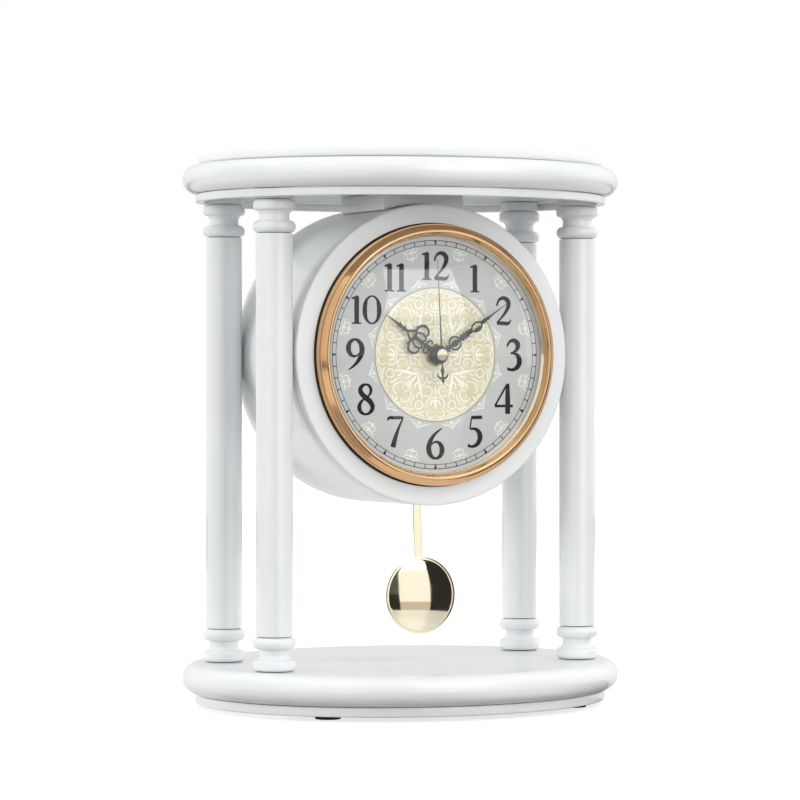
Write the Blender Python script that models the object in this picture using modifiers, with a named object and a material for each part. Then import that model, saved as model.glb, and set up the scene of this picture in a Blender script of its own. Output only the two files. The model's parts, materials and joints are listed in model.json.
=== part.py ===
"""A table clock: oval base and top, four turned columns, a round drum with a dial, and a pendulum.

Lengths are in metres and +Z is up. The dial faces -Y, and the origin is the centre of the
footprint, on the surface that the clock stands on. Pieces on the drum are placed under an empty
at the drum's centre whose +Z points forward, out of the dial, and whose +Y points up.
"""

import math

import bmesh
import bpy

MM = 0.001
FULL_TURN = 2 * math.pi

# Clearance between pieces that touch
SEAM = 0.3 * MM

# Facets round a piece
OVAL_SIDES = 40
DRUM_SIDES = 40
DIAL_SIDES = 32
BOB_SIDES = 28
COLUMN_SIDES = 16
BORE_SIDES = 8
LOOP_SIDES = 12
BULLNOSE_STEPS = 3
DOME_STEPS = 4

# Feet
FOOT_HEIGHT = 2.0 * MM
FOOT_RADIUS = 8.0 * MM
FOOT_X = 86.0 * MM
FOOT_Y = 73.0 * MM

# Drum
DRUM_RADIUS = 95.3 * MM
DRUM_WALL = 8.0 * MM
DRUM_DROP = 7.2 * MM
DRUM_EDGE = 1.0 * MM
DRUM_BACK_DEPTH = 50.0 * MM
PANEL_FRONT = 46.5 * MM
PANEL_THICKNESS = 6.0 * MM
BACK_COVER_THICKNESS = 5.0 * MM
BACK_COVER_LEDGE = 2.7 * MM
BACK_COVER_RECESS = 1.5 * MM
FINGER_HOLE_RADIUS = 9.0 * MM
FINGER_HOLE_OFFSET = 62.0 * MM
SLOT_WIDTH = 13.5 * MM
SLOT_REACH = math.radians(49.0)
MOUNT_BLOCK_HALF_X = 28.0 * MM
MOUNT_BLOCK_HALF_Y = 32.0 * MM
DRUM_SCREW_RADIUS = 2.0 * MM
DRUM_SCREW_HEAD_RADIUS = 4.0 * MM
DRUM_SCREW_HEAD_HEIGHT = 3.0 * MM
DRUM_SCREW_SPACING = 36.0 * MM
DRUM_SCREW_GRIP = 11.8 * MM

# Columns, each a shaft between two alike turnings, with a disc above. They stand beside the drum
SHAFT_RADIUS = 11.45 * MM
SHAFT_LENGTH = 249.6 * MM
COLUMN_DRUM_GAP = 0.35 * MM
COLUMN_X = DRUM_RADIUS + COLUMN_DRUM_GAP + SHAFT_RADIUS
COLUMN_Y = 39.6 * MM
TURNING_HEIGHT = 20.9 * MM
TURNING_RING_RADIUS = 13.3 * MM
TURNING_RING_BEAD = 3.9 * MM
TURNING_NECK_RADIUS = 9.2 * MM
TURNING_NECK_FLAT = 1.8 * MM
TURNING_DISC_RADIUS = 13.4 * MM
TURNING_DISC_HEIGHT = 6.8 * MM
TURNING_DISC_EDGE = 2.4 * MM
SPACER_RADIUS = 12.35 * MM
SPACER_HEIGHT = 5.8 * MM

# Long bolt through each column, its head in a hole of the plinth
TIE_ROD_RADIUS = 2.5 * MM
TIE_ROD_HEAD_RADIUS = 5.0 * MM
TIE_ROD_HEAD_HEIGHT = 3.5 * MM
TIE_ROD_GRIP = 11.8 * MM

# Base board and plinth, and the top's lip, board and cover. The boards reach past the columns
BOARD_REACH_X = 36.1 * MM
BOARD_REACH_Y = 85.7 * MM
BOARD_HALF_X = COLUMN_X + BOARD_REACH_X
BOARD_HALF_Y = COLUMN_Y + BOARD_REACH_Y
BASE_BOARD_THICKNESS = 18.9 * MM
TOP_BOARD_THICKNESS = 18.1 * MM
PLINTH_SETBACK = 8.35 * MM
PLINTH_THICKNESS = 6.0 * MM
PLINTH_EDGE = 0.8 * MM
TOP_LIP_HEIGHT = 5.1 * MM
TOP_LIP_WALL = 5.0 * MM
TOP_COVER_SETBACK = 10.3 * MM
TOP_COVER_THICKNESS = 5.4 * MM
TOP_COVER_EDGE = 2.0 * MM

# Dial, the ring that holds the glass, and the bezel around them
DIAL_RADIUS = 77.2 * MM
DIAL_THICKNESS = 1.4 * MM
SIGHT_RING_WIDTH = 2.8 * MM
SIGHT_RING_THICKNESS = 2.4 * MM
GLASS_FLANGE = 2.4 * MM
GLASS_THICKNESS = 1.6 * MM
GLASS_CLEARANCE = 0.5 * MM
BEZEL_WALL = 5.1 * MM
BEZEL_LIP = 1.8 * MM
BEZEL_LIP_HEIGHT = 4.1 * MM
BEZEL_CREST_WIDTH = 1.4 * MM
BEZEL_CREST_EDGE = 1.3 * MM
BEZEL_GROOVE_DROP = 3.5 * MM
BEZEL_GROOVE_DEPTH = 0.7 * MM
BEZEL_GROOVE_HEIGHT = 1.2 * MM

# Tubes that carry the hands, one inside the other, and the bush and nut around them
SECOND_ARBOR_RADIUS = 0.6 * MM
MINUTE_TUBE_WALL = 0.7 * MM
HOUR_TUBE_WALL = 0.6 * MM
BUSH_WALL = 1.2 * MM
MINUTE_TUBE_BORE = SECOND_ARBOR_RADIUS + SEAM
MINUTE_TUBE_RADIUS = MINUTE_TUBE_BORE + MINUTE_TUBE_WALL
HOUR_TUBE_BORE = MINUTE_TUBE_RADIUS + SEAM
HOUR_TUBE_RADIUS = HOUR_TUBE_BORE + HOUR_TUBE_WALL
BUSH_BORE = HOUR_TUBE_RADIUS + SEAM
BUSH_RADIUS = BUSH_BORE + BUSH_WALL
BUSH_PROUD = 0.3 * MM
NUT_RADIUS = 7.0 * MM
NUT_THICKNESS = 2.2 * MM

# Hands, each modelled at twelve o'clock and turned to the time shown. A bead of a hand's outline
# is its place along the hand, its half width and its half length
HAND_THICKNESS = 0.6 * MM
HAND_HUB_RADIUS = 5.8 * MM
HAND_TIP_WIDTH = 0.25 * MM
HOUR_HAND_LIFT = 0.5 * MM
HOUR_HAND_LENGTH = 43.0 * MM
HOUR_HAND_WIDTH = 1.5 * MM
HOUR_HAND_ANGLE = math.radians(304.8)
HOUR_HAND_BEADS = (
    (12.5 * MM, 6.6 * MM, 3.9 * MM),
    (19.5 * MM, 3.6 * MM, 4.4 * MM),
    (26.5 * MM, 1.5 * MM, 2.2 * MM),
)
HOUR_HAND_LOOPS = (
    (-3.3 * MM, 12.5 * MM, 2.3 * MM, 2.3 * MM),
    (3.3 * MM, 12.5 * MM, 2.3 * MM, 2.3 * MM),
    (0.0, 19.7 * MM, 2.2 * MM, 2.9 * MM),
)
HOUR_HAND_COLLAR = 0.6 * MM
MINUTE_HAND_LIFT = 1.6 * MM
MINUTE_HAND_LENGTH = 56.5 * MM
MINUTE_HAND_WIDTH = 1.2 * MM
MINUTE_HAND_ANGLE = math.radians(55.6)
MINUTE_HAND_BEADS = (
    (13.0 * MM, 4.0 * MM, 5.0 * MM),
    (21.0 * MM, 2.6 * MM, 3.4 * MM),
    (28.5 * MM, 2.6 * MM, 4.2 * MM),
)
MINUTE_HAND_LOOPS = (
    (0.0, 13.0 * MM, 2.7 * MM, 3.6 * MM),
    (0.0, 28.8 * MM, 1.5 * MM, 2.9 * MM),
)
MINUTE_BOSS_WALL = 1.3 * MM
MINUTE_BOSS_HEIGHT = 0.9 * MM
SECOND_HAND_LIFT = 1.2 * MM
SECOND_HAND_LENGTH = 60.0 * MM
SECOND_HAND_TAIL = 18.0 * MM
SECOND_HAND_THICKNESS = 0.4 * MM
SECOND_HAND_WIDTH = 0.5 * MM
SECOND_HAND_ANGLE = math.radians(-2.9)
SECOND_HAND_BEADS = (
    (0.0, 2.3 * MM, 2.3 * MM),
    (-11.5 * MM, 1.4 * MM, 2.6 * MM),
    (-14.5 * MM, 3.2 * MM, 1.2 * MM),
    (-17.0 * MM, 1.0 * MM, 1.2 * MM),
)
CAP_RADIUS = 3.7 * MM
CAP_HEIGHT = 1.6 * MM
CAP_EDGE = 0.5 * MM
CAP_END = 0.4 * MM

# Battery, lying across the movement between two contact plates
BATTERY_RADIUS = 7.25 * MM
BATTERY_LENGTH = 50.5 * MM
BATTERY_EDGE = 0.6 * MM
BATTERY_NUB_RADIUS = 2.75 * MM
BATTERY_NUB_LENGTH = 1.5 * MM
CONTACT_THICKNESS = 0.6 * MM
CONTACT_WIDTH = 7.0 * MM
CONTACT_DEPTH = 10.9 * MM

# Case of the movement, its heights measured from the hands' axis
CASE_WALL = 1.6 * MM
BAY_FLOOR = 0.9 * MM
BAY_RIB = 3.2 * MM
CHAMBER_TOP = 22.4 * MM
CHAMBER_BOTTOM = -12.5 * MM
CASE_TAIL = 21.3 * MM
COVER_THICKNESS = 1.5 * MM
BAY_HALF = BATTERY_RADIUS + 2 * SEAM
BATTERY_HEIGHT = CHAMBER_BOTTOM - BAY_RIB - BAY_HALF
CASE_HALF_X = BATTERY_LENGTH / 2 + 2 * SEAM + CONTACT_THICKNESS + CASE_WALL
CASE_TOP = CHAMBER_TOP + CASE_WALL
CASE_DEPTH = 2 * BATTERY_RADIUS + 2 * SEAM + BAY_FLOOR

# Wheels of the movement
GEAR_MODULE = 0.5 * MM
GEAR_ADDENDUM = 0.8
GEAR_DEDENDUM = 1.2
TOOTH_ROOT_SHARE = 0.30
TOOTH_TIP_SHARE = 0.11
CANNON_TEETH = 10
MINUTE_WHEEL_TEETH = 30
MINUTE_PINION_TEETH = 8
HOUR_WHEEL_TEETH = 32
SECOND_WHEEL_TEETH = 20
WHEEL_DISTANCE = GEAR_MODULE * (CANNON_TEETH + MINUTE_WHEEL_TEETH) / 2
WHEEL_THICKNESS = 1.5 * MM
WHEEL_GAP = 0.5 * MM
WHEEL_ARBOR_RADIUS = 0.75 * MM
CANNON_TAIL = 1.5 * MM
BEARING_DEPTH = 0.7 * MM
KNOB_RADIUS = 5.0 * MM
KNOB_LENGTH = 4.1 * MM
KNOB_EDGE = 0.6 * MM
KNOB_GRIP = 3.0 * MM

# Circuit board and coil of the movement
CIRCUIT_WIDTH = 12.5 * MM
CIRCUIT_HEIGHT = 32.0 * MM
CIRCUIT_THICKNESS = 1.2 * MM
COIL_RADIUS = 3.5 * MM
COIL_LENGTH = 16.0 * MM

# Pendulum, hung from a pin on the back of the movement
PIVOT_DROP = 7.35 * MM
PENDULUM_TILT = math.radians(2.07)
LEVER_WIDTH = 7.0 * MM
LEVER_THICKNESS = 2.4 * MM
PIN_RADIUS = 1.0 * MM
PIN_DEPTH = 2.8 * MM
PIN_HEAD_RADIUS = 2.2 * MM
PIN_HEAD_HEIGHT = 1.2 * MM
PEG_DROP = 12.5 * MM
PEG_RADIUS = 1.1 * MM
PEG_TAIL = 1.6 * MM
CATCH_WIDTH = 1.6 * MM
CATCH_HEIGHT = 2.4 * MM
ROD_LEVER_GAP = 3.1 * MM
ROD_WIDTH = 5.4 * MM
ROD_THICKNESS = 0.8 * MM
ROD_EYE_RADIUS = 1.5 * MM
BOB_RADIUS = 24.5 * MM
BOB_RIM = 1.9 * MM
BOB_RIM_EDGE = 0.3 * MM
BOB_CHAMFER = 1.5 * MM
BOB_FRONT_RISE = 4.1 * MM
BOB_BODY = 2.6 * MM
BOB_BASE_GAP = 17.65 * MM
SLOT_SHIFT = 2.0 * MM

# Heights of the stacked pieces, from the surface up
PLINTH_Z = FOOT_HEIGHT + SEAM
BASE_BOARD_Z = PLINTH_Z + PLINTH_THICKNESS + SEAM
COLUMN_BASE_Z = BASE_BOARD_Z + BASE_BOARD_THICKNESS + SEAM
SHAFT_Z = COLUMN_BASE_Z + TURNING_HEIGHT + SEAM
CAPITAL_Z = SHAFT_Z + SHAFT_LENGTH + SEAM
SPACER_Z = CAPITAL_Z + TURNING_HEIGHT + SEAM
TOP_BOARD_Z = SPACER_Z + SPACER_HEIGHT + SEAM
TOP_COVER_Z = TOP_BOARD_Z + TOP_BOARD_THICKNESS + SEAM
DRUM_Z = TOP_BOARD_Z - DRUM_DROP - DRUM_RADIUS

# Places along the drum's axis, forward from its centre
PANEL_BACK = PANEL_FRONT - PANEL_THICKNESS
SHELL_FRONT = PANEL_BACK - SEAM
CASE_FRONT = PANEL_BACK - SEAM
CASE_BACK = CASE_FRONT - CASE_DEPTH
DIAL_BACK = PANEL_FRONT + SEAM
DIAL_FRONT = DIAL_BACK + DIAL_THICKNESS
NUT_BACK = DIAL_FRONT + SEAM
BUSH_END = NUT_BACK + NUT_THICKNESS + BUSH_PROUD
HOUR_HAND_BACK = BUSH_END + HOUR_HAND_LIFT
HOUR_TUBE_END = HOUR_HAND_BACK + HAND_THICKNESS + HOUR_HAND_COLLAR
MINUTE_HAND_BACK = HOUR_TUBE_END + MINUTE_HAND_LIFT
MINUTE_HAND_FRONT = MINUTE_HAND_BACK + HAND_THICKNESS
MINUTE_TUBE_END = MINUTE_HAND_FRONT + MINUTE_BOSS_HEIGHT
SECOND_HAND_BACK = MINUTE_TUBE_END + SECOND_HAND_LIFT
SECOND_HAND_FRONT = SECOND_HAND_BACK + SECOND_HAND_THICKNESS
CAP_BACK = SECOND_HAND_FRONT + SEAM
CAP_FRONT = CAP_BACK + CAP_HEIGHT
SIGHT_RING_BACK = DIAL_FRONT + SEAM
SIGHT_RING_FRONT = SIGHT_RING_BACK + SIGHT_RING_THICKNESS
GLASS_BACK = SIGHT_RING_FRONT + SEAM
GLASS_FRONT = GLASS_BACK + GLASS_THICKNESS
BEZEL_SHOULDER = GLASS_FRONT + SEAM
COVER_FRONT = CASE_BACK - SEAM
COVER_BACK = COVER_FRONT - COVER_THICKNESS
LEVER_FRONT = CASE_BACK - SEAM
LEVER_BACK = LEVER_FRONT - LEVER_THICKNESS
ROD_FRONT = LEVER_BACK - ROD_LEVER_GAP
ROD_BACK = ROD_FRONT - ROD_THICKNESS
SLOT_FORWARD = (ROD_FRONT + ROD_BACK) / 2 - SLOT_SHIFT

# Heights from the hands' axis: the pendulum's pivot, the foot of the case and the bob's centre
PIVOT_HEIGHT = BATTERY_HEIGHT - BAY_HALF - PIVOT_DROP
CASE_BOTTOM = PIVOT_HEIGHT - CASE_TAIL
BOB_DROP = DRUM_Z + PIVOT_HEIGHT - COLUMN_BASE_Z - BOB_BASE_GAP - BOB_RADIUS

COLUMN_SPOTS = {
    "front_left": (-COLUMN_X, -COLUMN_Y),
    "front_right": (COLUMN_X, -COLUMN_Y),
    "back_left": (-COLUMN_X, COLUMN_Y),
    "back_right": (COLUMN_X, COLUMN_Y),
}


def clear_scene():
    for thing in list(bpy.data.objects):
        bpy.data.objects.remove(thing, do_unlink=True)


def new_collection(name):
    collection = bpy.data.collections.new(name)
    bpy.context.scene.collection.children.link(collection)
    return collection


clear_scene()
CLOCK = new_collection("table_clock")
CUTTERS = new_collection("cutters")


def new_material(name, colour, roughness, metallic=0.0, alpha=1.0):
    material = bpy.data.materials.new(name)
    material.use_nodes = True
    shader = material.node_tree.nodes["Principled BSDF"]
    shader.inputs["Base Color"].default_value = (*colour, 1.0)
    shader.inputs["Roughness"].default_value = roughness
    shader.inputs["Metallic"].default_value = metallic
    shader.inputs["Alpha"].default_value = alpha
    return material


WHITE_LACQUER = new_material("white_lacquer", (0.83, 0.84, 0.86), 0.25)
ROSE_GOLD = new_material("rose_gold", (0.76, 0.47, 0.28), 0.28, 1.0)
BRASS = new_material("brass", (0.86, 0.70, 0.42), 0.18, 1.0)
DARK_STEEL = new_material("dark_hands", (0.05, 0.065, 0.075), 0.4, 0.3)
STEEL = new_material("steel", (0.55, 0.56, 0.57), 0.35, 1.0)
SATIN_DIAL = new_material("satin_dial", (0.62, 0.65, 0.66), 0.45, 0.2)
CLEAR_GLASS = new_material("clear_glass", (0.9, 0.95, 0.95), 0.02, 0.0, 0.2)
BLACK_PLASTIC = new_material("black_plastic", (0.03, 0.03, 0.03), 0.5)
WHITE_PLASTIC = new_material("white_plastic", (0.7, 0.7, 0.68), 0.45)
BLACK_FOAM = new_material("black_foam", (0.02, 0.02, 0.02), 0.9)
BATTERY_WRAP = new_material("battery_wrap", (0.10, 0.22, 0.12), 0.4)
BOARD_GREEN = new_material("board_green", (0.05, 0.20, 0.09), 0.5)
COPPER_WIRE = new_material("copper_wire", (0.55, 0.25, 0.10), 0.4, 0.6)


def empty(name, location, parent=None, rotation=(0.0, 0.0, 0.0)):
    frame = bpy.data.objects.new(name, None)
    frame.location = location
    frame.rotation_euler = rotation
    frame.parent = parent
    CLOCK.objects.link(frame)
    return frame


def add_mesh_object(name, mesh, material, parent, location, rotation):
    piece = bpy.data.objects.new(name, mesh)
    piece.location = location
    piece.rotation_euler = rotation
    piece.parent = parent
    if not mesh.materials:
        mesh.materials.append(material)
    CLOCK.objects.link(piece)
    return piece


def turned(name, profile, sides, material, parent=None, location=(0, 0, 0), rotation=(0, 0, 0)):
    """A solid of revolution about Z. The profile's (radius, height) points run down the outer
    side. One that starts and ends on the axis is solid, and any other is a closed ring."""
    mesh = bpy.data.meshes.new(name)
    points = [(radius, 0.0, height) for radius, height in profile]
    edges = [(i, i + 1) for i in range(len(points) - 1)]
    if profile[0][0] > 0:
        edges.append((len(points) - 1, 0))
    mesh.from_pydata(points, edges, [])
    piece = add_mesh_object(name, mesh, material, parent, location, rotation)
    screw = piece.modifiers.new("Turn", "SCREW")
    screw.steps = sides
    screw.render_steps = sides
    screw.use_merge_vertices = True
    screw.merge_threshold = 1e-6
    screw.use_smooth_shade = True
    return piece


def arc(centre, radius, start, end, steps):
    """Points on an arc, with angles in degrees from the profile's outward direction."""
    points = []
    for i in range(steps + 1):
        angle = math.radians(start + (end - start) * i / steps)
        points.append((centre[0] + radius * math.cos(angle), centre[1] + radius * math.sin(angle)))
    return points


def circle(radius, sides, centre=(0.0, 0.0)):
    return oval(radius, radius, sides, centre)


def oval(half_x, half_y, sides, centre=(0.0, 0.0)):
    angles = [FULL_TURN * i / sides for i in range(sides)]
    return [(centre[0] + half_x * math.cos(a), centre[1] + half_y * math.sin(a)) for a in angles]


def flat_solid(name, outlines, thickness, material, parent=None, location=(0, 0, 0),
               rotation=(0, 0, 0), edge=0.0, edge_steps=1):
    """A flat piece on Z = 0 upwards from closed outlines in XY: its rim, and any holes. The edge
    is rounded outwards by the edge radius, so the rim is given that much inside its true line."""
    curve = bpy.data.curves.new(name, "CURVE")
    curve.dimensions = "2D"
    curve.fill_mode = "BOTH"
    curve.extrude = thickness / 2 - edge
    curve.bevel_depth = edge
    curve.bevel_resolution = edge_steps - 1
    for outline in outlines:
        spline = curve.splines.new("POLY")
        spline.points.add(len(outline) - 1)
        for point, (x, y) in zip(spline.points, outline):
            point.co = (x, y, 0.0, 1.0)
        spline.use_cyclic_u = True
    drawn = bpy.data.objects.new(name + "_outline", curve)
    CLOCK.objects.link(drawn)
    graph = bpy.context.evaluated_depsgraph_get()
    mesh = bpy.data.meshes.new_from_object(drawn.evaluated_get(graph))
    bpy.data.objects.remove(drawn, do_unlink=True)
    mesh.name = name
    shape = bmesh.new()
    shape.from_mesh(mesh)
    bmesh.ops.remove_doubles(shape, verts=shape.verts, dist=1e-7)
    bmesh.ops.translate(shape, verts=shape.verts, vec=(0.0, 0.0, thickness / 2))
    shape.to_mesh(mesh)
    shape.free()
    return add_mesh_object(name, mesh, material, parent, location, rotation)


def add_cylinder(shape, radius, low, high, spot=(0.0, 0.0), sides=BORE_SIDES):
    made = bmesh.ops.create_cone(
        shape, cap_ends=True, segments=sides, radius1=radius, radius2=radius, depth=high - low
    )
    centre = (spot[0], spot[1], (low + high) / 2)
    bmesh.ops.translate(shape, verts=made["verts"], vec=centre)


def cylinders(name, radius, low, high, spots, material, parent=None, location=(0, 0, 0),
              rotation=(0, 0, 0), sides=BORE_SIDES):
    """One or more upright cylinders between two heights."""
    shape = bmesh.new()
    for spot in spots:
        add_cylinder(shape, radius, low, high, spot, sides)
    mesh = bpy.data.meshes.new(name)
    shape.to_mesh(mesh)
    shape.free()
    return add_mesh_object(name, mesh, material, parent, location, rotation)


def box(name, low, high, material, parent=None):
    shape = bmesh.new()
    made = bmesh.ops.create_cube(shape, size=1.0)
    size = [b - a for a, b in zip(low, high)]
    middle = [(a + b) / 2 for a, b in zip(low, high)]
    bmesh.ops.scale(shape, vec=size, verts=made["verts"])
    bmesh.ops.translate(shape, vec=middle, verts=made["verts"])
    mesh = bpy.data.meshes.new(name)
    shape.to_mesh(mesh)
    shape.free()
    return add_mesh_object(name, mesh, material, parent, (0, 0, 0), (0, 0, 0))


def combine(piece, other, operation):
    """Cuts the other solid from a piece or joins it on, and hides the other."""
    change = piece.modifiers.new(other.name, "BOOLEAN")
    change.operation = operation
    change.object = other
    other.hide_render = True
    other.display_type = "WIRE"
    if other.name not in CUTTERS.objects:
        CUTTERS.objects.link(other)
        CLOCK.objects.unlink(other)


def cut(piece, cutter):
    combine(piece, cutter, "DIFFERENCE")


def join(piece, other):
    combine(piece, other, "UNION")


def oval_board(name, setback, thickness, edge, edge_steps, z):
    half_x = BOARD_HALF_X - setback
    half_y = BOARD_HALF_Y - setback
    rim = oval(half_x - edge, half_y - edge, OVAL_SIDES)
    return flat_solid(name, [rim], thickness, WHITE_LACQUER, location=(0, 0, z), edge=edge,
                      edge_steps=edge_steps)


def build_base():
    spots = list(COLUMN_SPOTS.values())
    plinth = oval_board("base_plinth", PLINTH_SETBACK, PLINTH_THICKNESS, PLINTH_EDGE, 1,
                        PLINTH_Z)
    head_holes = cylinders("head_holes", TIE_ROD_HEAD_RADIUS + SEAM, 0, BASE_BOARD_Z, spots,
                           WHITE_LACQUER)
    cut(plinth, head_holes)
    board = oval_board("base_board", 0, BASE_BOARD_THICKNESS, BASE_BOARD_THICKNESS / 2,
                       BULLNOSE_STEPS, BASE_BOARD_Z)
    bores = cylinders("base_bores", TIE_ROD_RADIUS + SEAM, PLINTH_Z, SHAFT_Z, spots,
                      WHITE_LACQUER)
    cut(board, bores)
    for side, (x, y) in COLUMN_SPOTS.items():
        foot_x = math.copysign(FOOT_X, x)
        foot_y = math.copysign(FOOT_Y, y)
        cylinders(f"foot_pad_{side}", FOOT_RADIUS, 0, FOOT_HEIGHT, [(0, 0)], BLACK_FOAM,
                  location=(foot_x, foot_y, 0), sides=COLUMN_SIDES)


def turning_profile():
    """The capital from its joint with the shaft up: ring, hollow neck and rounded disc. It
    starts at the bore at the top and runs down the outer side."""
    bore = TIE_ROD_RADIUS + SEAM
    disc_bottom = TURNING_HEIGHT - TURNING_DISC_HEIGHT
    ring_top = 2 * TURNING_RING_BEAD
    ring_centre = (TURNING_RING_RADIUS - TURNING_RING_BEAD, TURNING_RING_BEAD)
    disc_inset = TURNING_DISC_RADIUS - TURNING_DISC_EDGE
    upper = arc((disc_inset, TURNING_HEIGHT - TURNING_DISC_EDGE), TURNING_DISC_EDGE, 90, 0, 1)
    lower = arc((disc_inset, disc_bottom + TURNING_DISC_EDGE), TURNING_DISC_EDGE, 0, -90, 1)
    neck_middle = (ring_top + disc_bottom) / 2
    neck = [(TURNING_NECK_RADIUS, neck_middle + TURNING_NECK_FLAT / 2),
            (TURNING_NECK_RADIUS, neck_middle - TURNING_NECK_FLAT / 2)]
    ring = arc(ring_centre, TURNING_RING_BEAD, 90, -90, 4)
    return [(bore, TURNING_HEIGHT)] + upper + lower + neck + ring + [(bore, 0.0)]


def build_columns():
    bore = TIE_ROD_RADIUS + SEAM
    capital_profile = turning_profile()
    base_profile = [(radius, TURNING_HEIGHT - height) for radius, height in capital_profile]
    base_profile.reverse()
    shaft_profile = [(bore, SHAFT_LENGTH), (SHAFT_RADIUS, SHAFT_LENGTH), (SHAFT_RADIUS, 0),
                     (bore, 0)]
    spacer_profile = [(bore, SPACER_HEIGHT), (SPACER_RADIUS, SPACER_HEIGHT),
                      (SPACER_RADIUS, 0), (bore, 0)]
    head_top = BASE_BOARD_Z - SEAM
    rod_end = TOP_BOARD_Z + TIE_ROD_GRIP
    rod_profile = [(0, rod_end), (TIE_ROD_RADIUS, rod_end), (TIE_ROD_RADIUS, head_top),
                   (TIE_ROD_HEAD_RADIUS, head_top),
                   (TIE_ROD_HEAD_RADIUS, head_top - TIE_ROD_HEAD_HEIGHT),
                   (0, head_top - TIE_ROD_HEAD_HEIGHT)]
    for side, (x, y) in COLUMN_SPOTS.items():
        turned(f"column_base_{side}", base_profile, COLUMN_SIDES, WHITE_LACQUER,
               location=(x, y, COLUMN_BASE_Z))
        turned(f"column_shaft_{side}", shaft_profile, COLUMN_SIDES, WHITE_LACQUER,
               location=(x, y, SHAFT_Z))
        turned(f"column_capital_{side}", capital_profile, COLUMN_SIDES, WHITE_LACQUER,
               location=(x, y, CAPITAL_Z))
        turned(f"top_spacer_{side}", spacer_profile, COLUMN_SIDES, WHITE_LACQUER,
               location=(x, y, SPACER_Z))
        turned(f"column_tie_rod_{side}", rod_profile, BORE_SIDES, STEEL, location=(x, y, 0))


def build_top():
    outer = PLINTH_SETBACK
    inner = PLINTH_SETBACK + TOP_LIP_WALL
    rim = oval(BOARD_HALF_X - outer, BOARD_HALF_Y - outer, OVAL_SIDES)
    opening = oval(BOARD_HALF_X - inner, BOARD_HALF_Y - inner, OVAL_SIDES)
    flat_solid("top_lip", [rim, opening], TOP_LIP_HEIGHT, WHITE_LACQUER,
               location=(0, 0, TOP_BOARD_Z - SEAM - TOP_LIP_HEIGHT))
    board = oval_board("top_board", 0, TOP_BOARD_THICKNESS, TOP_BOARD_THICKNESS / 2,
                       BULLNOSE_STEPS, TOP_BOARD_Z)
    rod_holes = cylinders("rod_holes", TIE_ROD_RADIUS + SEAM, SPACER_Z,
                          TOP_BOARD_Z + TIE_ROD_GRIP + SEAM, COLUMN_SPOTS.values(),
                          WHITE_LACQUER)
    screw_holes = cylinders("screw_holes", DRUM_SCREW_RADIUS + SEAM, DRUM_Z,
                            TOP_BOARD_Z + DRUM_SCREW_GRIP + SEAM, drum_screw_spots(),
                            WHITE_LACQUER)
    cut(board, rod_holes)
    cut(board, screw_holes)
    oval_board("top_cover", TOP_COVER_SETBACK, TOP_COVER_THICKNESS, TOP_COVER_EDGE, 1,
               TOP_COVER_Z)


def drum_screw_spots():
    return [(0, -DRUM_SCREW_SPACING / 2), (0, DRUM_SCREW_SPACING / 2)]


def slot_cutters(drum):
    """The pendulum's slot: a stretch of ring across the drum's wall, and a round end at each
    side whose axis points at the drum's centre."""
    inner = DRUM_RADIUS - 2 * DRUM_WALL
    outer = DRUM_RADIUS + DRUM_WALL
    middle_radius = DRUM_RADIUS - DRUM_WALL / 2
    straight_reach = SLOT_REACH - SLOT_WIDTH / 2 / middle_radius
    steps = 16
    angles = [straight_reach * (2 * i / steps - 1) for i in range(steps + 1)]
    below = [(outer * math.sin(a), -outer * math.cos(a)) for a in angles]
    above = [(inner * math.sin(a), -inner * math.cos(a)) for a in reversed(angles)]
    cutters = [flat_solid("slot_middle", [below + above], SLOT_WIDTH, WHITE_LACQUER, drum,
                          (0, 0, SLOT_FORWARD - SLOT_WIDTH / 2))]
    for name, side in (("slot_end_left", -1), ("slot_end_right", 1)):
        angle = side * straight_reach
        end = cylinders(name, SLOT_WIDTH / 2, inner, outer, [(0, 0)], WHITE_LACQUER, drum,
                        (0, 0, SLOT_FORWARD), (math.pi / 2, 0, 0), sides=COLUMN_SIDES)
        end.rotation_mode = "ZXY"
        end.rotation_euler = (math.pi / 2, 0, angle)
        cutters.append(end)
    return cutters


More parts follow.
